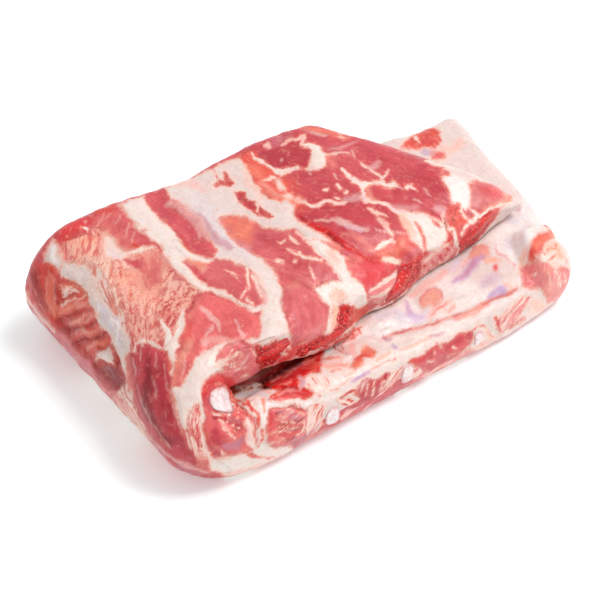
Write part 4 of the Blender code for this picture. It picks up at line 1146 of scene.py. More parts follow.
FRONT_CORNER = (
    # The dark stripe of muscle that comes down the fold.
    muscle("rose_deep", "127,353 135,351 146,346 157,347 166,351 171,360 172,375 169,392 "
        "172,405 177,420 182,432 191,445 203,458 213,466 228,474 205,478 188,472 170,460 "
        "155,447 147,436 141,420 135,402 128,388 126,370", soft=0.7, amount=0.8, grain=(0.05, 1),
        lift=0.5),
    tint("rose_dark", "160,362,10 163,385,14 167,410,15 177,435,11 194,455,8", soft=3, amount=0.7),
    tint("plum", "149,358,5 149,378,8 147,396,10 151,414,9 161,432,6 172,444,4", soft=1.8,
        amount=0.9),
    tint("rust", "128,356,4 129,372,5 131,388,4 | 169,352,3 170,370,3", soft=1.4, amount=0.6),
    tint("mauve", "180,466,6 196,474,6 | 150,440,5 163,454,5", soft=1.6, amount=0.5),
    film("blush", "165,365,1 166,380,1.5 170,395,1.5 175,412,2 181,428,1.5 | 156,352,1 "
        "157,366,1.5 | 133,356,1 136,374,1 | 143,400,1.5 150,418,1.5 160,434,1.5 172,448,1.5 | "
        "141,350,1 141,362,1 | 137,386,1 142,402,1 | 154,380,1 156,398,1", soft=0.5, amount=0.55),
    film("blush", "142,425,2 152,438,3 165,452,3 185,466,4 205,472,3", soft=1.2, amount=0.6),
    fat("cream", "159,317,3 165,327,6 168,338,8 172,349,8 173,360,5 172,374,3", soft=0.8, lift=0.4),
    fat("cream", "184,311,3 182,321,6 178,333,8 174,346,7", soft=0.8, lift=0.3),
    # Pink and salmon muscle between the stripe and the fat.
    muscle("pink_soft", "186,351 195,351 199,358 194,366 188,376 184,385 179,387 176,384 "
        "178,372 181,360", soft=1),
    muscle("salmon", "175,362,4 175,374,5 174,385,4", soft=1),
    tint("salmon", "180,356,6 178,372,6 176,384,4", soft=2, amount=0.7),
    tint("orange_pale", "188,344,7 184,352,8 180,362,5", soft=2, amount=0.8),
    film("shell", "186,356,1.5 183,368,1.5 180,380,1.5 | 193,352,1.5 | 189,362,1", soft=0.5,
        amount=0.6),
    streaky("salmon_deep", "shell", "171,392 177,397 181,410 184,424 188,440 198,452 206,456 "
        "196,456 186,446 179,432 174,414 171,402", soft=0.8, amount=1.5, grain=(0.25, 1)),
    muscle("brick", "172,398,1 177,406,1.5 180,414,1 | 176,404,1 181,422,1", soft=0.4),
    fat("cream", "229,342 224,347 218,354 214,360 220,366 226,370 213,373 207,379 203,390 "
        "200,400 195,404 190,414 187,427 183,430 180,420 178,410 175,401 171,394 172,388 "
        "182,387 185,378 190,366 196,358 204,352 214,348", soft=0.8, lift=0.7),
    streaky("pink_soft", "shell", "188,428 190,415 196,405 201,400 203,414 203,430 207,445 "
        "213,456 224,464 230,472 205,471 195,456 188,442", soft=0.7, amount=1.3, grain=(0.15, 1)),
    muscle("rose_deep", "190,424,2 193,434,3.5 198,446,3 | 191,410,1 189,420,1"),
    muscle("salmon_deep", "196,456 206,458 214,462 226,468 226,474 206,473 198,466", soft=1.2),
    tint("orange_pale", "214,464,5 222,470,5 | 200,458,4", soft=2, amount=0.7),
    fat("cream", "201,396,2 202,411,4 202,428,4 204,440,3 208,452,2"),
    muscle("brick", "203,424,2 205,434,2.5 208,444,2 | 208,450,1 212,456,1.5 | 200,449,1 "
        "205,456,1.5", soft=0.4, lift=-0.5),
    # Oval muscle over the fold's rib, in arcs; its pink is painted a little lighter than its own
    # tone, as painted light against the shade on this face.
    muscle("pink_milk", "218,352 228,346 241,343 252,348 258,355 261,366 259,379 250,386 "
        "235,389 221,386 213,383 207,387 208,379 213,373 226,371 221,364 216,358", soft=0.7,
        amount=1.4, grain=(1, -0.25), lift=0.6),
    tint("rose", "229,358,5 238,353,6 248,352,4", soft=1.6, amount=0.8),
    tint("pink_pale", "224,349,4 238,345,3 250,349,3", soft=1.4, amount=0.6),
    fat("shell", "214,362 219,359 224,360 226,365 222,368 216,366", soft=0.7),
    fat("shell", "223,362,1 232,355,1.5 241,352,1.5 | 226,364,1.5 236,360,1.5 244,356,1 | "
        "228,367,1 238,364,1.5 246,361,1 | 226,358,1 233,351,1 | 252,350,1 256,357,1 | "
        "230,372,1 240,369,1.5 250,366,1 | 246,380,1 257,376,1.5 | 240,376,1 247,373,1", soft=0.4,
        lift=0.2),
    film("film_blue", "243,366,2 246,361,3 248,355,2 | 231,366,3", amount=0.7),
    muscle("rose_deep", "231,362,1 240,358,1.5 | 230,358,1 238,355,1", soft=0.4),
    # Red rim round the rib's cut end, with fat and orange scraps under it.
    muscle("scarlet", "202,390 206,382 211,376 218,374 226,376 233,380 240,386 236,391 233,397 "
        "230,403 228,396 226,388 220,384 213,385 209,391 207,398 204,396", soft=0.8, lift=-0.3),
    tint("orange_red", "214,380,6 224,379,6", soft=2, amount=0.5),
    fat("cream", "238,387,1.5 248,388,2 258,384,1.5 | 228,406,4 233,405,4 | 240,404,3 246,407,3 "
        "250,412,2", soft=0.5, lift=0.4),
    muscle("orange_red", "236,401,3 241,403,3 | 226,411,2 234,411,2 | 231,400,2.5 | 244,402,1.5 "
        "248,406,1.5", soft=0.5),
    # Cut muscles below the rib: granular, deep red at the left, mauve below.
    muscle("pink_soft", "206,400 210,412 221,413 231,411 238,407 246,410 254,418 258,430 "
        "257,444 250,450 236,453 224,456 213,449 207,438 204,420", amount=3.2, grain=(0.3, 0.8)),
    muscle("rose_dark", "214,416,5 222,418,6 232,421,9 241,425,7 236,431,5", soft=1.4),
    muscle("rose_deep", "210,430 216,427 221,432 227,440 225,446 217,446 211,440", soft=0.9,
        lift=0.3),
    tint("mauve", "226,447,8 236,445,8 243,439,5", soft=1.6, amount=0.85),
    fat("blush", "219,420,2 223,428,3 229,434,3 234,438,1.5", soft=0.5, lift=0.3),
    fat("shell", "214,412,1.5 219,414,2 | 228,416,2 231,413,1.5 | 236,418,1 | 241,416,1.5 | "
        "226,422,1 | 233,424,1.5 | 239,428,1.5 | 229,430,1 | 244,423,1.5 | 222,412,1 | "
        "235,432,1 | 238,412,1.5 | 219,452,1.5 225,454,1", soft=0.3, lift=0.2),
    muscle("blood", "226,418,1.5 | 232,428,2 | 240,420,1.5 | 222,418,1.5 | 236,424,1 | "
        "229,424,1.5", soft=0.4),
    fat("shell", "246,420,4 251,430,8 250,441,9 255,447,4", soft=1),
    tint("mauve", "247,428,3 250,438,3", soft=1.4, amount=0.4),
    film("pink_soft", "252,426,1 254,436,1 | 246,432,1 248,442,1", soft=0.4, amount=0.5),
    muscle("scarlet", "247,400,3 251,408,5 257,416,5 260,426,3"),
    fat("shell", "252,410,1 256,420,1", soft=0.3),
    # The wedge of fat between the cut muscles.
    fat("white", "250,401 262,399 278,400 300,399 322,404 318,408 300,404 284,404 274,407 "
        "268,412 266,420 265,430 263,432 261,428 260,416 256,407", soft=0.4, lift=0.4),
    tint("rust", "264,402,4 264,412,3", soft=1, amount=0.9),
    tint("film_grey", "256,403,5", soft=1, amount=0.7),
    muscle("scarlet", "263,430,2 262,438,2 259,446,1.5 | 266,432,1.5 272,436,1.5", soft=0.5,
        lift=-0.4),
    tint("orange", "264,434,4", soft=1.4, amount=0.6),
    # Second cut muscle, marbled.
    muscle("pink_soft", "269,412 276,407 288,405 301,406 307,411 308,420 306,431 299,440 "
        "286,446 272,446 266,440 266,425", amount=2.4, grain=(1, -0.35), lift=0.7),
    tint("mauve", "282,413,7 291,413,8 300,417,6", soft=1.8, amount=0.85),
    tint("scarlet", "272,438,4 284,436,6 296,431,5 | 272,416,4 270,426,4", soft=1.6, amount=0.7),
    tint("pink_pale", "284,414,6 292,411,7 299,414,5", soft=2, amount=0.6),
    film("film_blue", "283,417,1 288,411,1.5 293,409,1 | 289,419,1.5 295,413,1.5 300,411,1",
        soft=0.4, amount=0.9),
    muscle("crimson", "284,406,1.5 294,405,2 303,409,2 | 279,424,2.5 290,420,2 301,418,2.5 | "
        "274,431,1.5 286,427,2 300,425,2.5 | 284,440,2 294,437,2.5 | 277,414,2 283,410,1.5",
        soft=0.5),
    tint("mauve", "288,446,5 302,438,5", soft=1.6, amount=0.6),
    fat("shell", "276,419,1 284,421,1.5 292,420,1 301,421,1 | 279,425,1 288,427,1 299,425,1 | "
        "273,431,1 281,431,1 290,431,1.5 | 276,437,1 284,439,1 | 283,408,1 290,409,1 | "
        "297,410,1 302,414,1 | 295,435,1 301,432,1 | 281,416,1 287,415,1 | 304,420,1 302,430,1 "
        "| 270,441,1 278,443,1", soft=0.35, lift=0.2),
    muscle("rose_dark", "280,424,1 289,423,1 | 284,429,1 296,428,1.5 | 276,434,1 284,434,1 | "
        "297,420,1", soft=0.4),
    # Fat under them, with a red strip and a pink edge on the table.
    fat("cream", "206,456 216,459 226,456 238,454 252,452 262,444 274,448 290,446 300,450 "
        "290,458 270,468 250,474 228,476 212,470", soft=0.9, lift=0.3),
    tint("tan", "212,456,2 224,458,2.5 238,453,2", soft=0.8, amount=0.6),
    muscle("pink_soft", "241,449,3 248,453,4 258,457,3 268,458,2 274,457,1", soft=0.7),
    muscle("orange_red", "244,450,1.5 252,454,1.5", soft=0.4),
    tint("blush", "226,474,4 250,470,4 272,462,3 296,450,4", soft=1.2, amount=0.8),
    # Front rim of the lower leaf.
    streaky("orange_red", "shell", "308,406 314,403 322,403 328,404 324,415 325,425 318,434 "
        "306,440 303,430 308,418", soft=0.8, amount=1.6, grain=(0.35, -1)),
    tint("mauve", "302,438,5 312,432,6 320,424,4", soft=1.6, amount=0.6),
    fat("cream", "322,402,5 330,400,7 345,394,5 358,388,3", soft=0.8),
    streaky("orange_red", "shell", "336,400 342,396 352,399 358,404 350,408 342,405", amount=1.4,
        grain=(1, 0.2)),
    streaky("rose", "blush", "338,412 348,409 360,406 372,398 384,388 396,376 402,366 403,374 "
        "399,383 391,391 380,400 366,410 352,416 342,422 337,420", soft=0.7, amount=1.5,
        grain=(1, -0.6)),
    muscle("rose_deep", "353,392 358,386 362,380 367,378 373,381 380,378 386,372 391,374 "
        "388,382 382,390 374,397 366,401 360,400 354,397", amount=2.6, grain=(0.35, -1)),
    tint("mauve", "360,388,6 368,382,6", soft=1.6, amount=0.5),
    muscle("rose_deep", "342,397,2 348,395,3 354,392,3", soft=0.5),
    streaky("pink_soft", "shell", "386,376 394,370 403,365 403,371 396,378 390,386 384,388",
        amount=1.6, grain=(0.9, -1)),
    fat("shell", "364,382,1 360,392,1 | 369,381,1 366,396,1 | 376,382,1 372,396,1 | 384,380,1 "
        "380,392,1", soft=0.3),
    muscle("rose", "406,362 413,358 422,355 430,349 438,344 441,348 444,343 452,340 458,336 "
        "465,333 471,330 475,336 470,344 462,350 450,356 440,362 430,370 422,371 414,366", soft=0.5,
        amount=1.6, grain=(1, -0.6), lift=0.4),
    tint("pink_bright", "412,362,5 422,360,5 | 452,350,7 464,343,7", soft=2, amount=0.8),
    fat("shell", "433,351,1.5 434,354,1.5 | 441,343,1 443,349,1.5 | 454,346,2 456,348,1.5 | "
        "466,340,1 | 449,357,1 | 426,364,1 434,360,1", soft=0.3, lift=0.2),
    muscle("brick_dark", "442,344,1 443,348,1", soft=0.3),
    streaky("pink_pale", "shell", "412,364 420,368 430,370 442,364 456,356 470,346 476,340 "
        "478,344 462,356 444,368 426,377 412,380 410,372", soft=0.8, amount=1.2, grain=(1, -0.6)),
    fat("cream", "472,338 476,329 484,327 492,333 496,340 489,347 480,351 470,350", soft=0.8),
    tint("orange_pale", "486,332,3 491,337,4 | 480,347,3", soft=1, amount=0.8),
    muscle("orange", "480,342,2 482,346,1.5", soft=0.8),
    muscle("pink_soft", "474,330,1 480,327,1.5 487,328,1 491,335,1 494,341,1", soft=0.4),
    streaky("pink_pale", "shell", "494,323 503,311 512,302 522,295 531,296 529,306 521,317 "
        "511,328 503,335 496,332", soft=0.8, amount=1.5, grain=(0.8, -1)),
    muscle("pink", "496,318,4 499,325,5 500,331,3 | 505,322,2 510,312,2 516,305,1.5 | 510,328,3 "
        "518,322,3 524,318,2", soft=0.8),
    tint("mauve", "507,316,5 516,306,5", soft=1.6, amount=0.4),
    fat("shell", "529,300 540,298 548,304 546,311 536,315 526,318", soft=1.2),
    tint("orange_pale", "536,305,9 544,308,7", soft=2, amount=0.6),
    # The rim's lowest edge: paler pink, partly its own tone and partly painted rim light.
    tint("blush", "300,446,5 330,430,5 366,414,5 400,394,5 430,376,5 470,352,5 500,336,4", soft=1.4,
        amount=0.7),
)

INNER_FACE = (
    fat("membrane", "300,352 380,296 430,258 470,235 500,202 520,186 480,120 430,125 440,150 "
        "560,210 580,290 500,345 400,362 340,400 300,402 262,392", soft=0.5),
    tint("cream", "330,385,16 370,366,18 410,352,16 450,328,12 480,312,9", soft=4, amount=0.8),
    tint("blush", "318,362,8 345,364,8", soft=3, amount=0.3),
    # Wet bluish membrane with grey wrinkles.
    fat("white", "372,305 395,300 412,298 420,312 410,326 395,334 378,338 368,324", soft=1,
        lift=0.5),
    film("film_blue", "380,318,9 395,312,10 402,322,8", soft=2, amount=0.6),
    film("film_grey", "374,326,1.5 384,318,1.5 396,314,1 | 380,332,1.5 392,326,1.5 404,322,1 | "
        "384,308,1 396,305,1.5 | 388,334,1 400,330,1.5 | 376,314,1 386,311,1", soft=0.5),
    tint("white", "430,285,16 455,285,16 470,290,12", soft=4, amount=0.8),
    film("film_grey", "444,296,1.5 456,290,1.5 466,288,1 | 450,282,1 462,280,1 | 446,306,1 "
        "460,299,1.5 474,296,1 | 440,276,1 450,270,1.5", amount=0.8),
    # Painted shade: grey over the membrane just under the upper leaf's edge.
    tint("film_grey", "316,352,8 326,347,8 336,344,7", soft=2, amount=0.8),
    # Dark vessels and torn red tissue by the second sawn rib.
    tint("mauve", "338,345,4 344,352,5 352,356,4", soft=1.2, amount=0.7),
    muscle("plum", "333,343,2 337,348,2.5 342,352,1.5 | 339,344,1.5 344,349,1.5", soft=0.5),
    muscle("brick", "337,342 345,337 354,332 360,334 356,340 348,342 342,345", soft=1),
    muscle("blood_dark", "335,341,2 346,334,2.5 356,328,3 363,325,2"),
    muscle("blood", "352,333,4 358,329,5 362,334,3", soft=0.8),
    tint("blush", "352,345,6 350,352,7 356,358,4", soft=1, amount=0.8),
    muscle("orange_red", "360,351 366,346 372,350 378,353 373,358 366,360 361,365 355,369 "
        "350,366 354,360 360,356", soft=0.8, amount=1.6, grain=(1, -0.4)),
    tint("orange", "364,349,7 372,353,6 | 356,364,5 362,364,5", soft=1.5, amount=0.9),
    tint("orange", "318,364,3 330,367,4 348,364,4", soft=1.5, amount=0.7),
    muscle("salmon", "322,360,1.5 332,358,2 342,358,1.5 | 330,372,1.5 340,370,1.5", soft=0.8),
    fat("white", "322,356,2 330,354,3 338,356,2 | 344,362,2 350,358,3 | 366,340,2 374,342,3",
        soft=0.8, lift=0.4),
    film("lilac", "352,382,3 362,376,4 370,371,3 | 358,387,2 368,381,3", soft=0.8, amount=0.75),
    film("violet", "356,378,1.5 364,373,1.5", amount=0.7),
    muscle("salmon_deep", "340,386,1 352,378,1.5 | 372,368,1.5 384,362,1.5 396,358,1 | "
        "330,392,1.5 338,390,1.5", soft=0.8),
    film("orange_pale", "345,376,3 355,370,3 | 376,360,2 390,354,3 | 400,350,2 416,344,3 "
        "430,338,2", soft=1, amount=0.8),
    film("violet", "383,336,2 388,343,3 396,348,3", soft=1, amount=0.7),
    tint("mauve", "384,338,4 391,341,4 | 430,338,4 440,334,5 446,330,3", soft=1, amount=0.7),
    film("film_blue", "404,316,10 418,320,10 428,314,8", soft=2, amount=0.7),
    film("lilac", "406,304,3 410,314,5 416,320,6 424,318,4", soft=1.2, amount=0.7),
    # Brown oval and the pink strands beside it.
    tint("tan", "419,304 421,296 425,291 431,288 438,290 443,297 441,303 436,309 429,306 424,308",
        soft=0.9, amount=0.95),
    tint("salmon_deep", "420,302,1.5 421,296,2 426,290,2 432,287,2 439,290,2 442,297,1.5",
        amount=0.8),
    film("peach", "426,296,3 432,298,4 436,302,2", soft=1, amount=0.5),
    tint("blush", "430,316,8 440,310,8 450,304,6", soft=1.5, amount=0.8),
    muscle("pink_pale", "432,315,2 439,309,2.5 446,303,2 | 446,312,3 455,306,3", soft=0.8),
    # Where the upper leaf touches the membrane: a dark line of painted contact shade, then a blush
    # of pink along the contact, partly painted shade.
    muscle("umber", "381,307,1.5 389,304,1.5 396,301,2 402,297,3 406,294,2", soft=0.5),
    tint("blush", "410,296,5 424,286,5 440,276,5 456,268,5 470,258,4", soft=1.4, amount=0.8),
    # The red seam that runs along the leaf above its rim.
    film("salmon", "378,343,1 384,339,2.5 394,334,2.5 406,331,3 420,328,2.5 432,325,3 444,320,2 "
        "456,315,3 468,310,2.5 480,304,2.5", soft=0.9, amount=0.85),
    form(-0.6, "378,343,2 394,334,3 406,331,3 420,328,3 432,325,3 444,320,3 456,315,3 468,310,3",
        soft=1),
    film("rose_deep", "382,340,1.5 394,335,2 404,331,2.5 412,330,1 | 426,326,1.5 438,323,1.5 | "
        "452,316,1.5 466,311,1.5", amount=0.8),
    fat("cream", "384,346,3 400,340,4 418,336,4 436,332,4 452,326,4 468,319,4 484,310,3", soft=1,
        lift=0.6),
    tint("salmon", "455,319,4 472,313,6 486,304,5", soft=1.4, amount=0.8),
    tint("brick", "482,304,2 490,300,3 500,296,3.5 509,292,3 517,289,2", soft=1, amount=0.8),
    form(-0.6, "482,304,2 490,300,3 500,296,3.5 509,292,3 517,289,2", soft=1),
    # Second brown oval, lilac strokes and vessels under the pointed end.
    tint("tan", "469,256 473,249 481,245 490,247 490,254 484,260 474,262", soft=0.9, amount=0.95),
    tint("salmon_deep", "469,256,1.5 473,249,2 481,245,2 489,247,1.5", amount=0.7),
    film("lilac", "455,282,4 463,277,7 469,269,9 476,262,9 482,257,4", soft=1.8, amount=0.85),
    film("mauve", "463,276,3 469,269,4 474,263,4", soft=1.2, amount=0.6),
    tint("film_blue", "458,262,10 450,270,8", soft=2, amount=0.7),
    tint("orange_pale", "485,261 490,257 497,257 501,260 496,263 488,264", soft=0.8, amount=0.9),
    tint("pink_bright", "493,267 496,265 499,267 499,270 496,272 493,270", soft=0.8, amount=0.95),
    film("lilac", "484,284,8 491,280,9 497,276,6", soft=2.5, amount=0.5),
    film("violet", "489,297,3 495,293,6 501,290,8 507,286,6", soft=1.6, amount=0.85),
    tint("orange_pale", "506,284,4 513,287,4", soft=1, amount=0.8),
    tint("rose_deep", "488,236,1.5 493,240,2 496,246,2", soft=0.5, amount=0.9),
    tint("pink_bright", "496,246,2 499,252,2 504,256,2 509,260,2.5 514,264,3", soft=0.5,
        amount=0.95),
    fat("cream", "470,248,2 478,243,2 486,238,2 492,241,2", lift=0.4),
    # Membrane by the curled corner, whiter than the rest: partly its own white, partly painted
    # light over the shade of the hollow there.
    tint("white", "500,205 510,200 522,204 534,213 544,224 541,236 531,243 524,262 512,264 "
        "500,252 490,244 483,234 488,220", soft=2, amount=0.9),
    film("film_blue", "505,215,12 518,220,16 522,236,12 510,245,10", soft=3, amount=0.55),
    film("white", "500,222,2 510,230,3 516,242,3 514,256,2 | 512,212,2 524,222,3 530,234,2",
        soft=0.8, amount=0.8),
    tint("mauve", "511,204,6 519,209,6", soft=1.2, amount=0.7),
    tint("orange_pale", "522,264,5 525,252,4", soft=1.5, amount=0.7),
    form(1.5, "506,238,10 510,250,10 | 517,236,12 519,246,9", soft=5),
    # Painted light: whiter again where the hollow beside the curled corner falls into shade.
    tint("white", "518,230,10 519,240,9 516,248,7", soft=3, amount=0.9),
    # The curled corner of the lower leaf.
    muscle("orange_red", "528,262 529,250 531,240 537,235 546,231 553,230 554,236 546,245 "
        "541,253 534,260", soft=0.9, lift=0.4),
    tint("orange", "536,246,8 548,237,8 554,233,5", soft=2, amount=0.8),
    fat("shell", "541,256 547,243 556,235 563,247 567,260 561,266 548,266 540,262", soft=1),
    tint("orange_pale", "548,250,7 556,247,8 562,256,6", soft=1.5, amount=0.8),
    muscle("orange", "544,254,1 552,248,1.5 560,250,1 | 548,260,1 556,254,1.5 | 552,242,1 "
        "558,246,1", soft=0.5),
    muscle("pink_pale", "520,268 530,262 541,260 548,264 554,268 561,268 570,270 572,283 "
        "567,294 558,301 549,304 545,296 538,289 530,288 523,286", soft=1, amount=1.6,
        grain=(0.6, 1), lift=0.6),
    tint("blush", "546,276,14 556,284,14 | 536,276,6", soft=3, amount=0.5),
    tint("pink_soft", "526,274,8 531,268,6 528,284,6", soft=2, amount=0.6),
    tint("salmon", "548,296,8 558,290,7", soft=2, amount=0.6),
    fat("shell", "531,275,2 538,273,2.5 | 546,270,1.5 550,279,2 549,290,1.5 | 554,270,1.5 "
        "558,280,2 557,290,1.5 | 540,280,1.5 545,287,1.5 | 562,272,1 565,282,1.5", soft=0.5,
        lift=0.2),
    muscle("blood", "536,207,1 542,218,1.5 549,229,2", soft=0.5),
    muscle("pink", "566,258,1.5 567,263,1.5", soft=0.5),
    # The lower leaf's far corner, behind the pointed end.
    fat("membrane", "443,120 455,117 470,126 482,144 502,168 520,190 508,184 490,180 470,178 "
        "452,171 447,164 444,150 438,140", soft=0.8),
    tint("film_grey", "455,132,10 475,150,10", soft=4, amount=0.35),
    tint("orange_pale", "440,148,4 452,150,5 462,142,8", soft=2, amount=0.55),
    muscle("orange_red", "400,148 410,138 420,130 433,125 439,131 442,140 436,147 425,149 "
        "415,151", soft=1),
    tint("rose", "425,138,8", soft=3, amount=0.5),
    fat("shell", "416,137,3 420,141,2"),
    film("violet", "424,152,5 432,153,6", soft=1, amount=0.6),
    muscle("pink_soft", "431,150 441,151 447,158 438,162 430,161", soft=1),
    muscle("pink", "464,123,1.5 469,129,2", soft=0.5),
)

CREVICE = (
    # The mouth of the crevice beside the fold, dark under the upper leaf: red meat, with painted
    # shade along the leaf's edge.
    muscle("blood", "252,386 258,378 264,372 280,362 298,350 316,342 334,338 326,348 322,360 "
        "320,372 312,374 306,376 303,380 299,384 305,386 314,389 312,396 304,401 290,402 "
        "276,402 268,401 272,395 281,391 272,390 262,389", soft=0.8, amount=2.8, grain=(1, -0.35)),
    tint("scarlet", "276,399,5 290,398,6 | 280,379,7 292,374,8 304,368,7", soft=2, amount=0.7),
    # Salmon on the crevice's deep walls under the leaf's edge, painted lighter than their shade
    # would show: painted light standing in for the cut face's pale lower part.
    tint("salmon", "258,376,5 264,370,6 272,364,7 284,358,7 296,352,6 306,346,5", soft=1.6,
        amount=0.95),
    # Painted shade: near-black and dark red bands along the upper leaf's edge and in the crevice's
    # mouth.
    tint("crevice_shade", "254,386,4 262,381,5 270,377,6 282,370,6 294,363,6 306,355,5 316,349,4 "
        "326,344,3", soft=1.4, amount=0.95),
    tint("crevice_shade", "258,388,4 264,386,6 270,388,4", soft=0.8, amount=0.95),
    tint("blood_dark", "284,388,2 296,386,2 | 268,380,5 282,373,6 296,365,6 308,357,5", soft=1.2,
        amount=0.75),
    film("shell", "276,375,1.5 | 290,371,1 | 283,381,1", soft=0.3, amount=0.7),
    tint("orange_red", "305,364,6 314,367,7 | 300,381,4", soft=1.2, amount=0.8),
    muscle("orange_red", "306,360,4 314,363,6 321,364,4", soft=0.8),
    film("pink_pale", "272,382,1 284,377,1.5 294,371,1 | 278,386,1 290,382,1.5 | 282,392,1 "
        "294,388,1", soft=0.5, amount=0.6),
    fat("white", "238,388,2 246,386,4 254,386,4 261,384,2", soft=0.5, lift=0.5),
    fat("film_grey", "234,399 236,395 242,391 252,390 262,389 270,391 276,394 272,397 262,399 "
        "250,400 240,401", soft=0.5, lift=0.6),
    tint("tan", "262,391,4 270,392,4", soft=1, amount=0.6),
    film("film_blue", "240,396,2 252,394,2 262,394,1.5", soft=0.5),
    muscle("blood_dark", "236,401,2 242,403,2 250,401,2 258,401,1.5", soft=0.4),
    muscle("blood", "272,396,3 282,392,4 296,390,5 308,392,6", soft=0.5, amount=1.5,
        grain=(1, -0.3), lift=0.3),
    tint("scarlet", "276,399,5 290,398,6 304,396,5", soft=1.2, amount=0.7),
    tint("pink_pale", "279,394,2 290,391,2 299,389,2", soft=0.8, amount=0.8),
    fat("shell", "305,376 312,373 319,374 326,380 328,388 324,394 316,392 308,387 302,381",
        soft=0.9),
    fat("white", "309,378,3 315,382,4 320,388,4 | 318,376,3 323,381,3", lift=0.4),
    film("lilac", "299,377,4 303,382,5 300,387,3", soft=0.8, amount=0.8),
    muscle("salmon_deep", "312,378,1.5 317,385,1.5 | 308,384,1.5 312,390,1.5 | 322,380,1 "
        "326,386,1", soft=0.5),
    muscle("blood", "325,378,1 328,383,1.5 331,387,1 | 314,392,1.5 320,397,1.5", soft=0.5),
    muscle("orange_red", "305,398,3 309,394,3", soft=0.8),
)

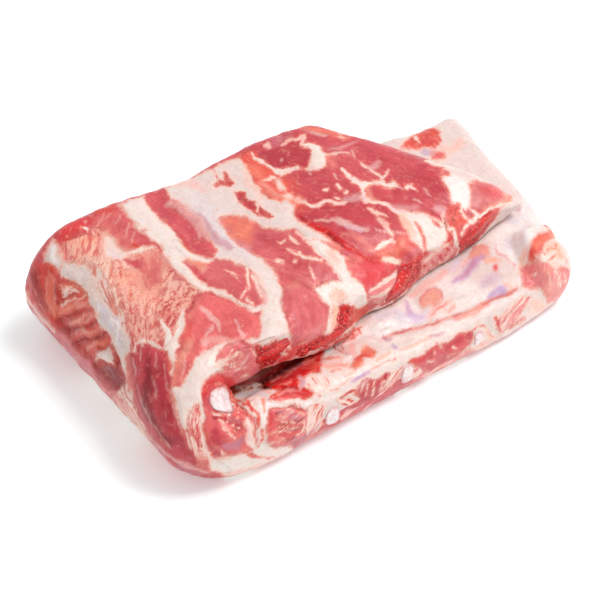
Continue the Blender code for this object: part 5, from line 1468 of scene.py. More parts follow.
SAWN_EDGE = (
    # First sawn rib from the left, with torn white and red tissue round it.
    bone("blood", "256,347 266,342 277,338 288,335 291,341 286,350 279,358 270,363 263,368 "
        "257,366 258,354", soft=0.7),
    tint("crimson", "260,350,7 261,360,8 268,358,6", soft=1.4, amount=0.8),
    fat("shell", "268,346,1.5 | 274,342,2 | 280,340,1.5 283,344,1.5 | 276,350,2 280,354,1.5 | "
        "284,346,2 | 270,354,1.5 | 286,339,1.5 | 266,362,1 | 264,346,1 | 279,348,1", soft=0.4),
    muscle("pink_pale", "288,337 298,335 308,335 318,334 319,341 311,348 304,355 295,361 "
        "286,366 278,369 273,365 281,355", amount=3.2, grain=(0.6, 1)),
    tint("scarlet", "284,360,6 292,352,7 300,346,6 | 308,341,5", soft=1.4, amount=0.8),
    muscle("blood", "286,352,2.5 | 292,345,2 295,349,1.5 | 300,340,2.5 | 290,358,2 | 303,349,2 "
        "| 309,338,1.5 | 280,362,2 | 296,355,1.5 | 289,341,1.5 | 313,342,1.5", soft=0.4),
    fat("shell", "286,343,1.5 290,348,2.5 | 296,339,2 | 282,354,2 288,354,2 | 299,345,1.5 "
        "304,343,2 | 292,362,2 298,357,2 | 306,337,1.5", soft=0.4, lift=0.3),
    fat("cream", "258,378 261,371 267,366 275,364 277,368 272,373 265,380 259,384", lift=0.5),
    fat("blush", "276,369,3 286,365,3 297,359,3 303,355,2"),
    # Second, deep red with pits, behind a strip that light comes through.
    bone("blood", "296,354 303,346 311,341 319,336 328,333 334,329 336,322 339,313 341,306 "
        "347,304 352,307 353,314 352,322 350,328 345,332 338,337 330,342 320,346 310,351 302,357"),
    tint("blood", "322,338,7 332,334,6 346,312,8 346,322,7", soft=1, amount=0.8),
    muscle("scarlet", "342,308,2 346,314,2 | 347,321,2 | 338,332,2 | 326,338,2 | 314,345,2",
        soft=0.5),
    fat("pink_pale", "344,317,1 | 349,310,1 | 350,318,1 | 341,326,1 | 333,337,1 | 322,342,1 | "
        "329,335,1", soft=0.3),
    fat("peach", "330,306 336,305 340,308 338,318 336,328 331,334 328,334 330,324 332,314"),
    tint("orange_pale", "334,312,4 333,324,4", soft=1, amount=0.6),
    muscle("brick", "352,312 356,307 363,304 371,303 374,308 369,315 362,320 356,325 351,329 "
        "351,320", amount=1.6, grain=(1, -0.7)),
    tint("blood", "356,310,3 362,306,3 | 353,320,4", soft=0.8, amount=0.7),
    # Striped muscle, then the third.
    muscle("rose_soft", "369,314 369,304 372,296 377,288 384,280 391,273 399,267 401,272 "
        "397,281 393,289 391,298 385,304 377,310", amount=2.8, grain=(0.55, -1)),
    fat("shell", "371,301,1 378,290,1.5 384,281,1 | 374,305,1 382,292,1.5 390,280,1 | 379,304,1 "
        "386,292,1.5 393,279,1 | 385,300,1 390,290,1 396,276,1 | 388,277,1.5 395,270,1.5",
        soft=0.35, lift=0.2),
    muscle("rose_deep", "373,298,1 380,286,1 | 377,305,1 385,290,1 | 383,302,1 389,288,1",
        soft=0.35),
    bone("blood", "388,302 389,293 392,286 396,279 399,271 401,265 409,262 418,260 423,263 "
        "422,271 416,278 411,284 406,291 400,297 393,300"),
    tint("pink_soft", "394,294,5 400,286,6 406,276,6", soft=1, amount=0.7),
    fat("pink_pale", "397,288,1.5 | 402,281,1.5 | 408,272,2 | 404,288,1.5 | 413,268,2 | "
        "396,296,1.5 | 410,279,1 | 416,264,1.5 | 399,276,1", soft=0.35),
    tint("orange_red", "422,268,5 418,276,4", soft=1, amount=0.8),
    # Pink granular stretch, painted lighter than its own pink to make up for the shade on this face
    # under the overhang (painted light), and the fourth rib, darker at its lower end.
    muscle("blush", "421,262 428,254 436,249 444,244 452,240 457,246 453,255 446,262 437,268 "
        "428,275 421,276", amount=3.4, grain=(0.6, -1)),
    tint("pink_soft", "426,266,5 438,260,6 448,250,5", soft=2, amount=0.5),
    muscle("blood", "424,266,3 | 431,260,2.5 433,264,2 | 440,255,3 442,259,2 | 447,248,3 "
        "450,250,2 | 429,271,3 | 437,264,2 | 446,256,2.5 | 453,244,2.5 | 436,254,2 | 426,258,2",
        soft=0.5),
    fat("shell", "424,262,2 430,256,2 437,251,2 | 430,266,2 | 434,260,1.5 | 440,262,2 | "
        "445,254,1.5 | 440,249,2 448,244,2.5 | 436,268,1.5 | 448,258,1.5 | 452,250,1.5", soft=0.4),
    fat("cream", "454,233,3 457,241,4 459,250,4 456,257,3", soft=0.7),
    muscle("blood", "448,237,2 450,243,2.5", soft=0.5),
    fat("membrane", "497,208 512,196 530,196 524,212 506,224 494,236 484,246 474,254 466,258 "
        "462,252 470,240 480,226 490,216"),
    bone("blood", "460,254 459,246 464,238 470,230 478,222 488,213 497,207 500,209 496,216 "
        "489,225 481,236 472,247 465,255", soft=0.7),
    fat("cream", "502,203,2 492,208,2.5 484,213,2.5 476,219,2.5 468,227,2", soft=0.5),
    tint("crimson", "466,248,5 472,238,5", soft=1.4, amount=0.6),
    tint("pink_soft", "486,218,6 492,213,8 499,209,6", soft=1.5, amount=0.8),
    fat("pink_pale", "478,226,1 | 484,220,1.5 | 490,215,1.5 | 474,236,1 | 495,212,1.5 | "
        "486,228,1 | 468,242,1.5 | 472,230,1.5 | 480,230,1 | 464,248,1", soft=0.35),
    # The pale line along the cut's lower edge.
    fat("cream", "300,360,2 310,353,2.5 322,346,2.5 334,339,2.5 346,331,2.5 357,324,3 368,316,3 "
        "378,308,2.5 388,303,2 398,299,2 408,292,2.5 420,283,3 430,275,3 442,268,3 452,262,2.5 "
        "462,257,2 474,250,2 484,240,1.5", soft=0.5),
)


@dataclass
class Paint:
    """Painted values of a surface, one per vertex, and the means to add marks to them."""

    surface: Surface
    normals: Array
    view: PhotoFrame
    seen: Array                                 # 1 where the photograph shows the vertex
    fat: Array = field(init=False)              # above 0 inside fat, in millimetres
    streak: Array = field(init=False)
    soft: Array = field(init=False)
    film: Array = field(init=False)
    bone: Array = field(init=False)
    lift: Array = field(init=False)
    muscle_tone: Array = field(init=False)
    fat_tone: Array = field(init=False)
    grain: Array = field(init=False)
    pixels: Array = field(init=False)
    open: Array = field(init=False)             # where the next marks may go

    DEEP = 4.0                  # how deep plain muscle lies outside fat, in millimetres
    FAR = 9.0                   # the same where the photograph shows nothing
    PLAIN_STREAK = 0.3
    FAT_STREAK = 0.25
    PLAIN_SOFT = 0.6
    WAVER_SIZE = 6.0            # of the unsteady hand that draws the marks, in millimetres
    LINE_GAIN = 1.4             # how much bolder than its width a line is
    LINE_CORE = 0.03            # what every line gains in depth, in millimetres
    REACH = 6.0                 # how far round a mark its level still counts, in millimetres
    REACH_OF_BLUR = 4.0         # what each millimetre of blur adds to that
    DOT = (0.5, 0.0, 0.0)       # how far a line of a single point runs on, in pixels
    TINY = 1e-9                 # keeps a division from failing
    LEAST_SEEN = 0.01
    SWAY_SIZE = 16.0            # of the bends in the fibres, in millimetres
    SWAY = 1.4
    STRETCH = 0.12              # how much slower the noise changes along the fibres

    def __post_init__(self) -> None:
        """Start with plain muscle, and find where each vertex lies in the photograph."""
        points = self.surface.points
        count = len(points)
        self.fat = np.full(count, -self.DEEP)
        self.open = np.full(count, True)
        self.streak = np.full(count, self.PLAIN_STREAK)
        self.soft = np.full(count, self.PLAIN_SOFT)
        self.film = np.zeros(count)
        self.bone = np.zeros(count)
        self.lift = np.zeros(count)
        self.muscle_tone = np.tile(linear(TONES["rose"]), (count, 1))
        self.fat_tone = np.tile(linear(TONES["cream"]), (count, 1))
        self.grain = np.tile([0.0, 1.0, 0.0], (count, 1))
        waver = [turbulence(points, self.WAVER_SIZE, 3, seed) for seed in (1.0, 2.0, 3.0)]
        self.pixels = self.view.pixels(points + np.stack(waver, axis=-1))

    def depth_in(self, mark: Mark) -> tuple[Array, Array]:
        """How deep vertices lie inside a mark.

        Args:
            mark: The mark.

        Returns:
            Numbers of the vertices near the mark, and their depth in it in millimetres, below 0
            outside.
        """
        path = np.array([[float(v) for v in p.split(",")] for p in mark.path.split()])
        is_line = path.shape[1] == 3
        if is_line and len(path) == 1:
            path = np.vstack([path, path + self.DOT])
        width = path[:, 2].max() / 2 if is_line else 0.0
        reach = self.REACH_OF_BLUR * mark.soft + self.REACH
        margin = width + reach * self.view.pixels_per_mm
        low, high = path[:, :2].min(0) - margin, path[:, :2].max(0) + margin
        within = np.all((self.pixels >= low) & (self.pixels <= high), axis=1)
        near = np.flatnonzero((self.seen > self.LEAST_SEEN) & self.open & within)
        spots = self.pixels[near]
        best = np.full(len(near), -np.inf)
        inside = np.zeros(len(near), bool)
        ends = path[1:] if is_line else np.roll(path, -1, axis=0)
        for start, end in zip(path, ends):
            step = end[:2] - start[:2]
            share = np.clip((spots - start[:2]) @ step / max(step @ step, self.TINY), 0, 1)
            gap = np.linalg.norm(spots - start[:2] - share[:, None] * step, axis=1)
            if is_line:
                gap = gap - blend(start[2], end[2], share) / 2
            else:
                level = (start[1] > spots[:, 1]) != (end[1] > spots[:, 1])
                rise = step[1] if abs(step[1]) > self.TINY else self.TINY
                cross = start[0] + (spots[:, 1] - start[1]) / rise * step[0]
                inside ^= level & (spots[:, 0] < cross)
            best = np.maximum(best, -gap)
        if not is_line:
            best = np.where(inside, -best, best)
        depth = best / self.view.pixels_per_mm
        return near, self.LINE_GAIN * depth + self.LINE_CORE if is_line else depth

    def add(self, mark: Mark) -> None:
        """Add one mark, stroke by stroke."""
        for path in mark.path.split("|"):
            self.add_stroke(replace(mark, path=path))

    def mix_in(self, name: str, near: Array, value: Array, share: Array) -> None:
        """Blend one of the painted values towards another at some vertices.

        Args:
            name: The painted value's name.
            near: Numbers of the vertices.
            value: What it is blended towards.
            share: How far, from 0 to 1, for each vertex.
        """
        values = getattr(self, name)
        values[near] = blend(values[near], value, share if values.ndim == 1 else share[:, None])

    def add_stroke(self, mark: Mark) -> None:
        """Add a mark of a single stroke.

        Args:
            mark: The mark, with a path of one stroke.
        """
        near, depth = self.depth_in(mark)
        if not len(near):
            return
        seen = self.seen[near]
        cover = smooth(-mark.soft, mark.soft, depth) * seen
        tone = linear(TONES[mark.tone]) if mark.tone else None
        limit = blend(-self.FAR, depth, seen)
        if mark.kind in (Kind.FAT, Kind.MUSCLE, Kind.STREAKY):
            blur = min(mark.soft, 0.5) if mark.kind is Kind.STREAKY else mark.soft
            self.mix_in("soft", near, blur, smooth(-2.0 - mark.soft, -0.5, depth) * seen)
            self.mix_in("bone", near, 0.0, cover)
        if mark.kind is Kind.FAT:
            self.fat[near] = np.maximum(self.fat[near], limit)
            self.mix_in("fat_tone", near, tone, cover)
            self.mix_in("streak", near, self.FAT_STREAK, cover)
        elif mark.kind is Kind.MUSCLE:
            self.fat[near] = np.minimum(self.fat[near], -limit)
            self.mix_in("muscle_tone", near, tone, cover)
            self.mix_in("streak", near, self.PLAIN_STREAK * mark.amount, cover)
        elif mark.kind is Kind.STREAKY:
            self.mix_in("fat", near, 0.0, cover)
            self.mix_in("streak", near, mark.amount, cover)
            self.mix_in("muscle_tone", near, tone, cover)
            self.mix_in("fat_tone", near, linear(TONES[mark.under]), cover)
        elif mark.kind is Kind.TINT:
            self.mix_in("muscle_tone", near, tone, cover * mark.amount)
            self.mix_in("fat_tone", near, tone, cover * mark.amount)
        elif mark.kind is Kind.FILM:
            self.film[near] = np.maximum(self.film[near], cover * mark.amount)
            self.mix_in("fat_tone", near, tone, cover * mark.amount)
        elif mark.kind is Kind.BONE:
            self.mix_in("bone", near, mark.amount, cover)
            self.mix_in("muscle_tone", near, tone, cover)
            self.mix_in("fat", near, -self.DEEP, cover)
        if mark.lift:
            self.lift[near] += mark.lift * smooth(-0.5, 0.7 + 3.0 * mark.soft, depth) * seen
        if mark.grain:
            self.comb(near[cover > 0.5], mark.grain)

    def comb(self, core: Array, grain: tuple[float, float]) -> None:
        """Lay the fibres of some vertices along a direction seen in the photograph.

        Args:
            core: Numbers of the vertices.
            grain: The direction, across and down.
        """
        if not len(core):
            return
        normal = self.normals[core].mean(0)
        along = self.view.direction_on(normal / np.linalg.norm(normal), *grain)
        through = self.surface.through[core].mean(0)
        through /= np.linalg.norm(through)
        ahead = np.cross([0.0, 1.0, 0.0], through)
        self.grain[core] = (along @ ahead, along[1], along @ through)

    def store(self, mesh: bpy.types.Mesh) -> None:
        """Write the painted values to a mesh that has the same vertices.

        Args:
            mesh: The mesh that the values are stored on.
        """
        flat = self.surface.flat
        sway = [turbulence(flat, self.SWAY_SIZE, 2, seed) for seed in (8.0, 9.0, 10.0)]
        bent = flat + self.SWAY * np.stack(sway, axis=-1)
        along = np.sum(self.grain * bent, axis=1, keepdims=True)
        set_attribute(mesh, "fibre", bent - self.grain * along * (1 - self.STRETCH))
        set_attribute(mesh, "fat", np.clip(self.fat, -self.DEEP, self.DEEP))
        for name in ("streak", "soft", "film", "bone", "muscle_tone", "fat_tone"):
            set_attribute(mesh, name, getattr(self, name))


# ---------------------------------------------------------------- materials

class Nodes:
    """Short way to write a node tree."""

    def __init__(self, name: str) -> None:
        """Make a material with a Principled shader.

        Args:
            name: The material's name.
        """
        self.material = bpy.data.materials.new(name)
        self.material.use_nodes = True
        self.tree = self.material.node_tree
        self.shader = self.tree.nodes["Principled BSDF"]

    def put(self, socket: Socket, value: object) -> None:
        """Link or set a socket.

        Args:
            socket: The socket.
            value: Another node's socket, a number, a vector or a colour.
        """
        if isinstance(value, Socket):
            self.tree.links.new(value, socket)
        elif isinstance(value, (int, float)) or socket.type == "VECTOR":
            socket.default_value = value
        else:
            socket.default_value = (*value, 1.0) if len(value) == 3 else value

    def set(self, **values: object) -> None:
        """Set the shader's sockets by name, with _ for a space."""
        for name, value in values.items():
            words = name.replace("_", " ").title().replace("Ior", "IOR")
            self.put(self.shader.inputs[words], value)

    def attribute(self, name: str, output: str = "Fac") -> Socket:
        """A value painted on the mesh.

        Args:
            name: The value's name.
            output: Which output is read.

        Returns:
            The output.
        """
        node = self.tree.nodes.new("ShaderNodeAttribute")
        node.attribute_name = name
        return node.outputs[output]

    def math(self, operation: str, first: object, second: object = 0.0,
             third: object = 0.0) -> Socket:
        """Math node.

        Args:
            operation: What the node does.
            first: Its inputs, in order.
            second: The second one.
            third: The third one.

        Returns:
            The result.
        """
        node = self.tree.nodes.new("ShaderNodeMath")
        node.operation = operation
        for socket, value in zip(node.inputs, (first, second, third)):
            self.put(socket, value)
        return node.outputs[0]

    def millimetres(self) -> Socket:
        """Place on the piece in millimetres.

        Returns:
            The place as a vector.
        """
        node = self.tree.nodes.new("ShaderNodeVectorMath")
        node.operation = "SCALE"
        node.inputs["Scale"].default_value = 1 / MM
        self.put(node.inputs[0], self.tree.nodes.new("ShaderNodeTexCoord").outputs["Object"])
        return node.outputs[0]

    def stir(self, value: object, noise_value: Socket, amount: object) -> Socket:
        """Value plus a noise, less the noise's middle of 0.5, times an amount."""
        return self.math("MULTIPLY_ADD", self.math("SUBTRACT", noise_value, 0.5), amount, value)

    def noise(self, vector: object, scale: float, detail: float = 2.0, rough: float = 0.55,
              warp: float = 0.0) -> Socket:
        """Noise value round 0.5.

        Args:
            vector: Where it is read.
            scale: How fine it is.
            detail: Number of finer layers.
            rough: Strength of the finer layers.
            warp: How far it is distorted.

        Returns:
            The noise's value.
        """
        node = self.tree.nodes.new("ShaderNodeTexNoise")
        self.put(node.inputs["Vector"], vector)
        node.inputs["Scale"].default_value = scale
        node.inputs["Detail"].default_value = detail
        node.inputs["Roughness"].default_value = rough
        node.inputs["Distortion"].default_value = warp
        return node.outputs["Fac"]

    def ramp(self, value: object, low: object, high: object, start: object = 0.0,
             end: object = 1.0) -> Socket:
        """Smooth step of a value from low to high, as start to end.

        Args:
            value: What is stepped.
            low: Where the step starts.
            high: Where it ends.
            start: Result at its start.
            end: Result at its end.

        Returns:
            The result.
        """
        node = self.tree.nodes.new("ShaderNodeMapRange")
        node.interpolation_type = "SMOOTHSTEP"
        for socket, given in zip(node.inputs[:5], (value, low, high, start, end)):
            self.put(socket, given)
        return node.outputs[0]

    def mix(self, share: object, first: object, second: object, kind: str = "MIX") -> Socket:
        """Mix of two colours.

        Args:
            share: How much of the second.
            first: The first colour.
            second: The second colour.
            kind: How they are mixed.

        Returns:
            The colour.
        """
        node = self.tree.nodes.new("ShaderNodeMix")
        node.data_type = "RGBA"
        node.blend_type = kind
        self.put(node.inputs["Factor"], share)
        self.put(node.inputs[6], first)
        self.put(node.inputs[7], second)
        return node.outputs[2]

    def bump(self, height: object, depth: float) -> Socket:
        """Bumped normal of a height, for a depth in millimetres.

        Args:
            height: The height, from 0 to about 1.
            depth: What a height of 1 stands for.

        Returns:
            The normal.
        """
        node = self.tree.nodes.new("ShaderNodeBump")
        node.inputs["Strength"].default_value = 1.0
        node.inputs["Distance"].default_value = depth * MM
        self.put(node.inputs["Height"], height)
        return node.outputs["Normal"]


@dataclass(frozen=True)
class Stain:
    """A colour that one of the noises lays over another colour."""

    noise: str
    step: Step
    colour: Colour
    kind: str = "MULTIPLY"


class MeatNoises:
    """The noises that the parts of the meat's material share."""

    def __init__(self, n: Nodes) -> None:
        """Make the noises.

        Args:
            n: The node tree they go in.
        """
        fibre, spot = n.attribute("fibre", "Vector"), n.millimetres()
        self.ropes = n.noise(fibre, 0.42, 2.0, 0.5)
        self.strands = n.noise(fibre, 0.75, 3.0, 0.6, 0.4)
        self.threads = n.noise(fibre, 1.9, 2.0, 0.6, 0.3)
        self.lumps = n.noise(spot, 0.13, 3.0, 0.55)
        self.patches = n.noise(spot, 0.3, 3.0, 0.6, 0.6)
        self.beads = n.noise(spot, 0.65, 3.0, 0.55)
        self.grit = n.noise(spot, 0.85, 4.0, 0.68, 0.5)
        self.pores = n.noise(spot, 1.6, 2.0, 0.6)

    def stained(self, n: Nodes, colour: Socket, stains: Sequence[Stain]) -> Socket:
        """Lay stains over a colour, one after the other.

        Args:
            n: The material's node tree.
            colour: The colour under them.
            stains: The stains, in order.

        Returns:
            The stained colour.
        """
        for stain in stains:
            share = n.ramp(getattr(self, stain.noise), *stain.step)
            colour = n.mix(share, colour, stain.colour, stain.kind)
        return colour


@dataclass(frozen=True)
class MeatFinish:
    """Raw muscle, fat and membrane, told apart by the painted values."""

    muscle_roughness: float = 0.42
    fat_roughness: float = 0.38
    coat: float = 0.3
    coat_roughness: float = 0.13
    subsurface: float = 0.3
    reach: float = 3.0              # of light under the surface, in millimetres
    scatter: Colour = (1.0, 0.35, 0.25)
    grain_depth: float = 0.16       # of the bumps of strands and grit, in millimetres
    bead_depth: float = 0.4         # of the bumps of the wet coat
    wet_index: float = 1.36
    film_cover: Step = (0.3, 0.7, 0.6, 1.0)
    coat_by_brightness: tuple[float, float] = (0.01, 0.1)
    dark_coat: float = 0.1          # coat of the darkest places, as a share
    strand_break: float = 3.0       # how far the noises carry a fully streaked edge, in mm
    thread_break: float = 2.6
    rope_break: Step = (0.6, 1.6, 0.0, 8.0)
    grit_break: Step = (0.6, 1.2, 1.7, 0.9)
    patch_break: float = 1.8
    edge_blur: tuple[float, float] = (0.9, 0.1)
    speck_threads: tuple[float, float] = (0.60, 0.72)
    speck_patches: tuple[float, float] = (0.42, 0.62)
    speck_share: float = 0.5
    muscle_cast: Colour = (1.0, 0.88, 0.90)
    muscle_stains: tuple[Stain, ...] = (
        Stain("lumps", (0.58, 0.42, 0.0, 0.55), (0.82, 0.60, 0.66)),
        Stain("patches", (0.52, 0.74, 0.0, 0.45), (0.80, 0.25, 0.18), "MIX"),
        Stain("strands", (0.30, 0.60, 0.34, 0.0), (0.70, 0.48, 0.54)),
        Stain("threads", (0.42, 0.30, 0.0, 0.45), (0.62, 0.36, 0.42)),
    )
    thin_muscle: Colour = (0.84, 0.27, 0.18)    # over fat, beside a seam
    muscle_thinning: Step = (-1.5, -0.1, 0.0, 0.42)
    streak_thinning: Step = (0.6, 1.2, 1.0, 0.25)
    fat_stains: tuple[Stain, ...] = (
        Stain("patches", (0.40, 0.66, 0.0, 0.4), (0.92, 0.80, 0.77)),
        Stain("grit", (0.55, 0.35, 0.0, 0.45), (0.90, 0.72, 0.66)),
    )
    thin_fat: Colour = (0.93, 0.57, 0.46)       # over muscle, beside a seam
    fat_thinning: Step = (1.7, 0.2, 0.0, 0.4)
    marrow: Colour = (0.82, 0.003, 0.005)
    marrow_share: float = 0.6
    marrow_pit: Colour = (0.27, 0.0, 0.001)
    pit_grit: tuple[float, float] = (0.42, 0.56)
    marrow_speck: Colour = (0.93, 0.50, 0.44)
    speck_pores: tuple[float, float] = (0.57, 0.66)

    def build(self) -> bpy.types.Material:
        """Make the material.

        Returns:
            The material.
        """
        n = Nodes("meat")
        noises = MeatNoises(n)
        level = self.fat_level(n, noises)
        is_fat = self.fat_share(n, noises, level)
        veil = n.math("MULTIPLY", n.attribute("film"), n.ramp(noises.grit, *self.film_cover))
        share = n.math("MAXIMUM", is_fat, veil)
        colour = n.mix(share, self.muscle_colour(n, noises, level),
                       self.fat_colour(n, noises, level))
        colour = n.mix(n.attribute("bone"), colour, self.bone_colour(n, noises))
        height = n.math("MULTIPLY_ADD", noises.threads, 0.3, noises.strands)
        height = n.math("MULTIPLY_ADD", noises.grit, 0.6, height)
        pitted = n.math("MULTIPLY", noises.pores, n.attribute("bone"))
        height = n.math("MULTIPLY_ADD", pitted, 2.5, height)
        wet = n.math("MULTIPLY_ADD", noises.strands, 0.5, noises.beads)
        rough = n.stir(n.ramp(share, 0.0, 1.0, self.muscle_roughness, self.fat_roughness),
                       noises.patches, 0.25)
        gloss = n.ramp(colour, *self.coat_by_brightness, self.dark_coat * self.coat, self.coat)
        n.set(base_color=colour, normal=n.bump(height, self.grain_depth),
              coat_normal=n.bump(wet, self.bead_depth), roughness=rough,
              subsurface_weight=self.subsurface, subsurface_radius=self.scatter,
              subsurface_scale=self.reach * MM, coat_weight=gloss,
              coat_roughness=self.coat_roughness, ior=self.wet_index)
        return n.material

    def fat_level(self, n: Nodes, noises: MeatNoises) -> Socket:
        """Depth in fat, in millimetres, with the marks' edges and streaks broken up by noise.

        Args:
            n: The material's node tree.
            noises: The shared noises.

        Returns:
            The depth, below 0 in muscle.
        """
        level, streak = n.attribute("fat"), n.attribute("streak")
        level = n.stir(level, noises.strands, n.math("MULTIPLY", streak, self.strand_break))
        level = n.stir(level, noises.threads, n.math("MULTIPLY", streak, self.thread_break))
        level = n.stir(level, noises.ropes, n.ramp(streak, *self.rope_break))
        level = n.stir(level, noises.grit, n.ramp(streak, *self.grit_break))
        return n.stir(level, noises.patches, self.patch_break)

    def fat_share(self, n: Nodes, noises: MeatNoises, level: Socket) -> Socket:
        """How much of the colour is fat's: by its depth, and in fine specks in the muscle.

        Args:
            n: The material's node tree.
            noises: The shared noises.
            level: Depth in fat, in millimetres.

        Returns:
            The share, from 0 to 1.
        """
        edge = n.math("MULTIPLY_ADD", n.attribute("soft"), *self.edge_blur)
        is_fat = n.ramp(level, n.math("MULTIPLY", edge, -1.0), edge)
        specks = n.math("MULTIPLY", n.ramp(noises.threads, *self.speck_threads),
                        n.ramp(noises.patches, *self.speck_patches))
        return n.math("MAXIMUM", is_fat, n.math("MULTIPLY", specks, self.speck_share))

    def muscle_colour(self, n: Nodes, noises: MeatNoises, level: Socket) -> Socket:
        """Muscle's tone with lumps, patches and fibres, lighter where it thins out.

        Args:
            n: The material's node tree.
            noises: The shared noises.
            level: Depth in fat, in millimetres.

        Returns:
            The colour.
        """
        muscle = n.mix(1.0, n.attribute("muscle_tone", "Color"), self.muscle_cast, "MULTIPLY")
        muscle = noises.stained(n, muscle, self.muscle_stains)
        thin = n.math("MULTIPLY", n.ramp(level, *self.muscle_thinning),
                      n.ramp(n.attribute("streak"), *self.streak_thinning))
        return n.mix(thin, muscle, self.thin_muscle)

    def fat_colour(self, n: Nodes, noises: MeatNoises, level: Socket) -> Socket:
        """Fat's tone with patches and grit, redder where it thins out.

        Args:
            n: The material's node tree.
            noises: The shared noises.
            level: Depth in fat, in millimetres.

        Returns:
            The colour.
        """
        fat_tone = noises.stained(n, n.attribute("fat_tone", "Color"), self.fat_stains)
        return n.mix(n.ramp(level, *self.fat_thinning), fat_tone, self.thin_fat)

    def bone_colour(self, n: Nodes, noises: MeatNoises) -> Socket:
        """Sawn bone's red marrow with dark pits and pale specks.

        Args:
            n: The material's node tree.
            noises: The shared noises.

        Returns:
            The colour.
        """
        tone = n.attribute("muscle_tone", "Color")
        marrow = n.mix(self.marrow_share, tone, self.marrow)
        specked = n.mix(n.ramp(noises.pores, *self.speck_pores), marrow, self.marrow_speck)
        return n.mix(n.ramp(noises.grit, *self.pit_grit), self.marrow_pit, specked)


@dataclass(frozen=True)
class BoneFinish:
    """Cut rib end: white cartilage or red sawn bone with a spongy middle."""

    name: str
    ground: str
    dark: str
    light: str
    cavity: float                   # depth of the spongy pores, from 0 to 1
    roughness: float = 0.34
    coat: float = 0.3
    coat_roughness: float = 0.15
    subsurface: float = 0.1
    reach: float = 1.5              # of light under the surface, in millimetres
    scatter: Colour = (1.0, 0.4, 0.3)
    grain_depth: float = 0.16

    def build(self) -> bpy.types.Material:
        """Make the material.

        Returns:
            The material.
        """
        n = Nodes(self.name)
        spot = n.millimetres()
        grit = n.noise(spot, 0.85, 4.0, 0.68, 0.5)
        pores = n.noise(spot, 1.6, 2.0, 0.6)
        mottles = n.noise(spot, 0.5, 3.0, 0.6)
        ground, dark, light = (tuple(linear(c)) for c in (self.ground, self.dark, self.light))
        colour = n.mix(n.ramp(pores, 0.34, 0.5, 1.0 - self.cavity, 1.0), dark,
                       n.mix(n.ramp(grit, 0.52, 0.70), ground, light))
        colour = n.mix(n.ramp(mottles, 0.48, 0.62, 0.0, 0.5), colour, dark)
        rim = n.stir(n.attribute("rim"), mottles, 0.7)
        colour = n.mix(n.ramp(rim, 0.72, 1.0, 0.0, 0.85), colour, dark)
        height = n.math("MULTIPLY_ADD", pores, 2.5 * self.cavity, grit)
        n.set(base_color=colour, normal=n.bump(height, self.grain_depth),
              roughness=self.roughness, coat_weight=self.coat,
              coat_roughness=self.coat_roughness, subsurface_weight=self.subsurface,
              subsurface_radius=self.scatter, subsurface_scale=self.reach * MM)
        return n.material


# ---------------------------------------------------------------- pieces

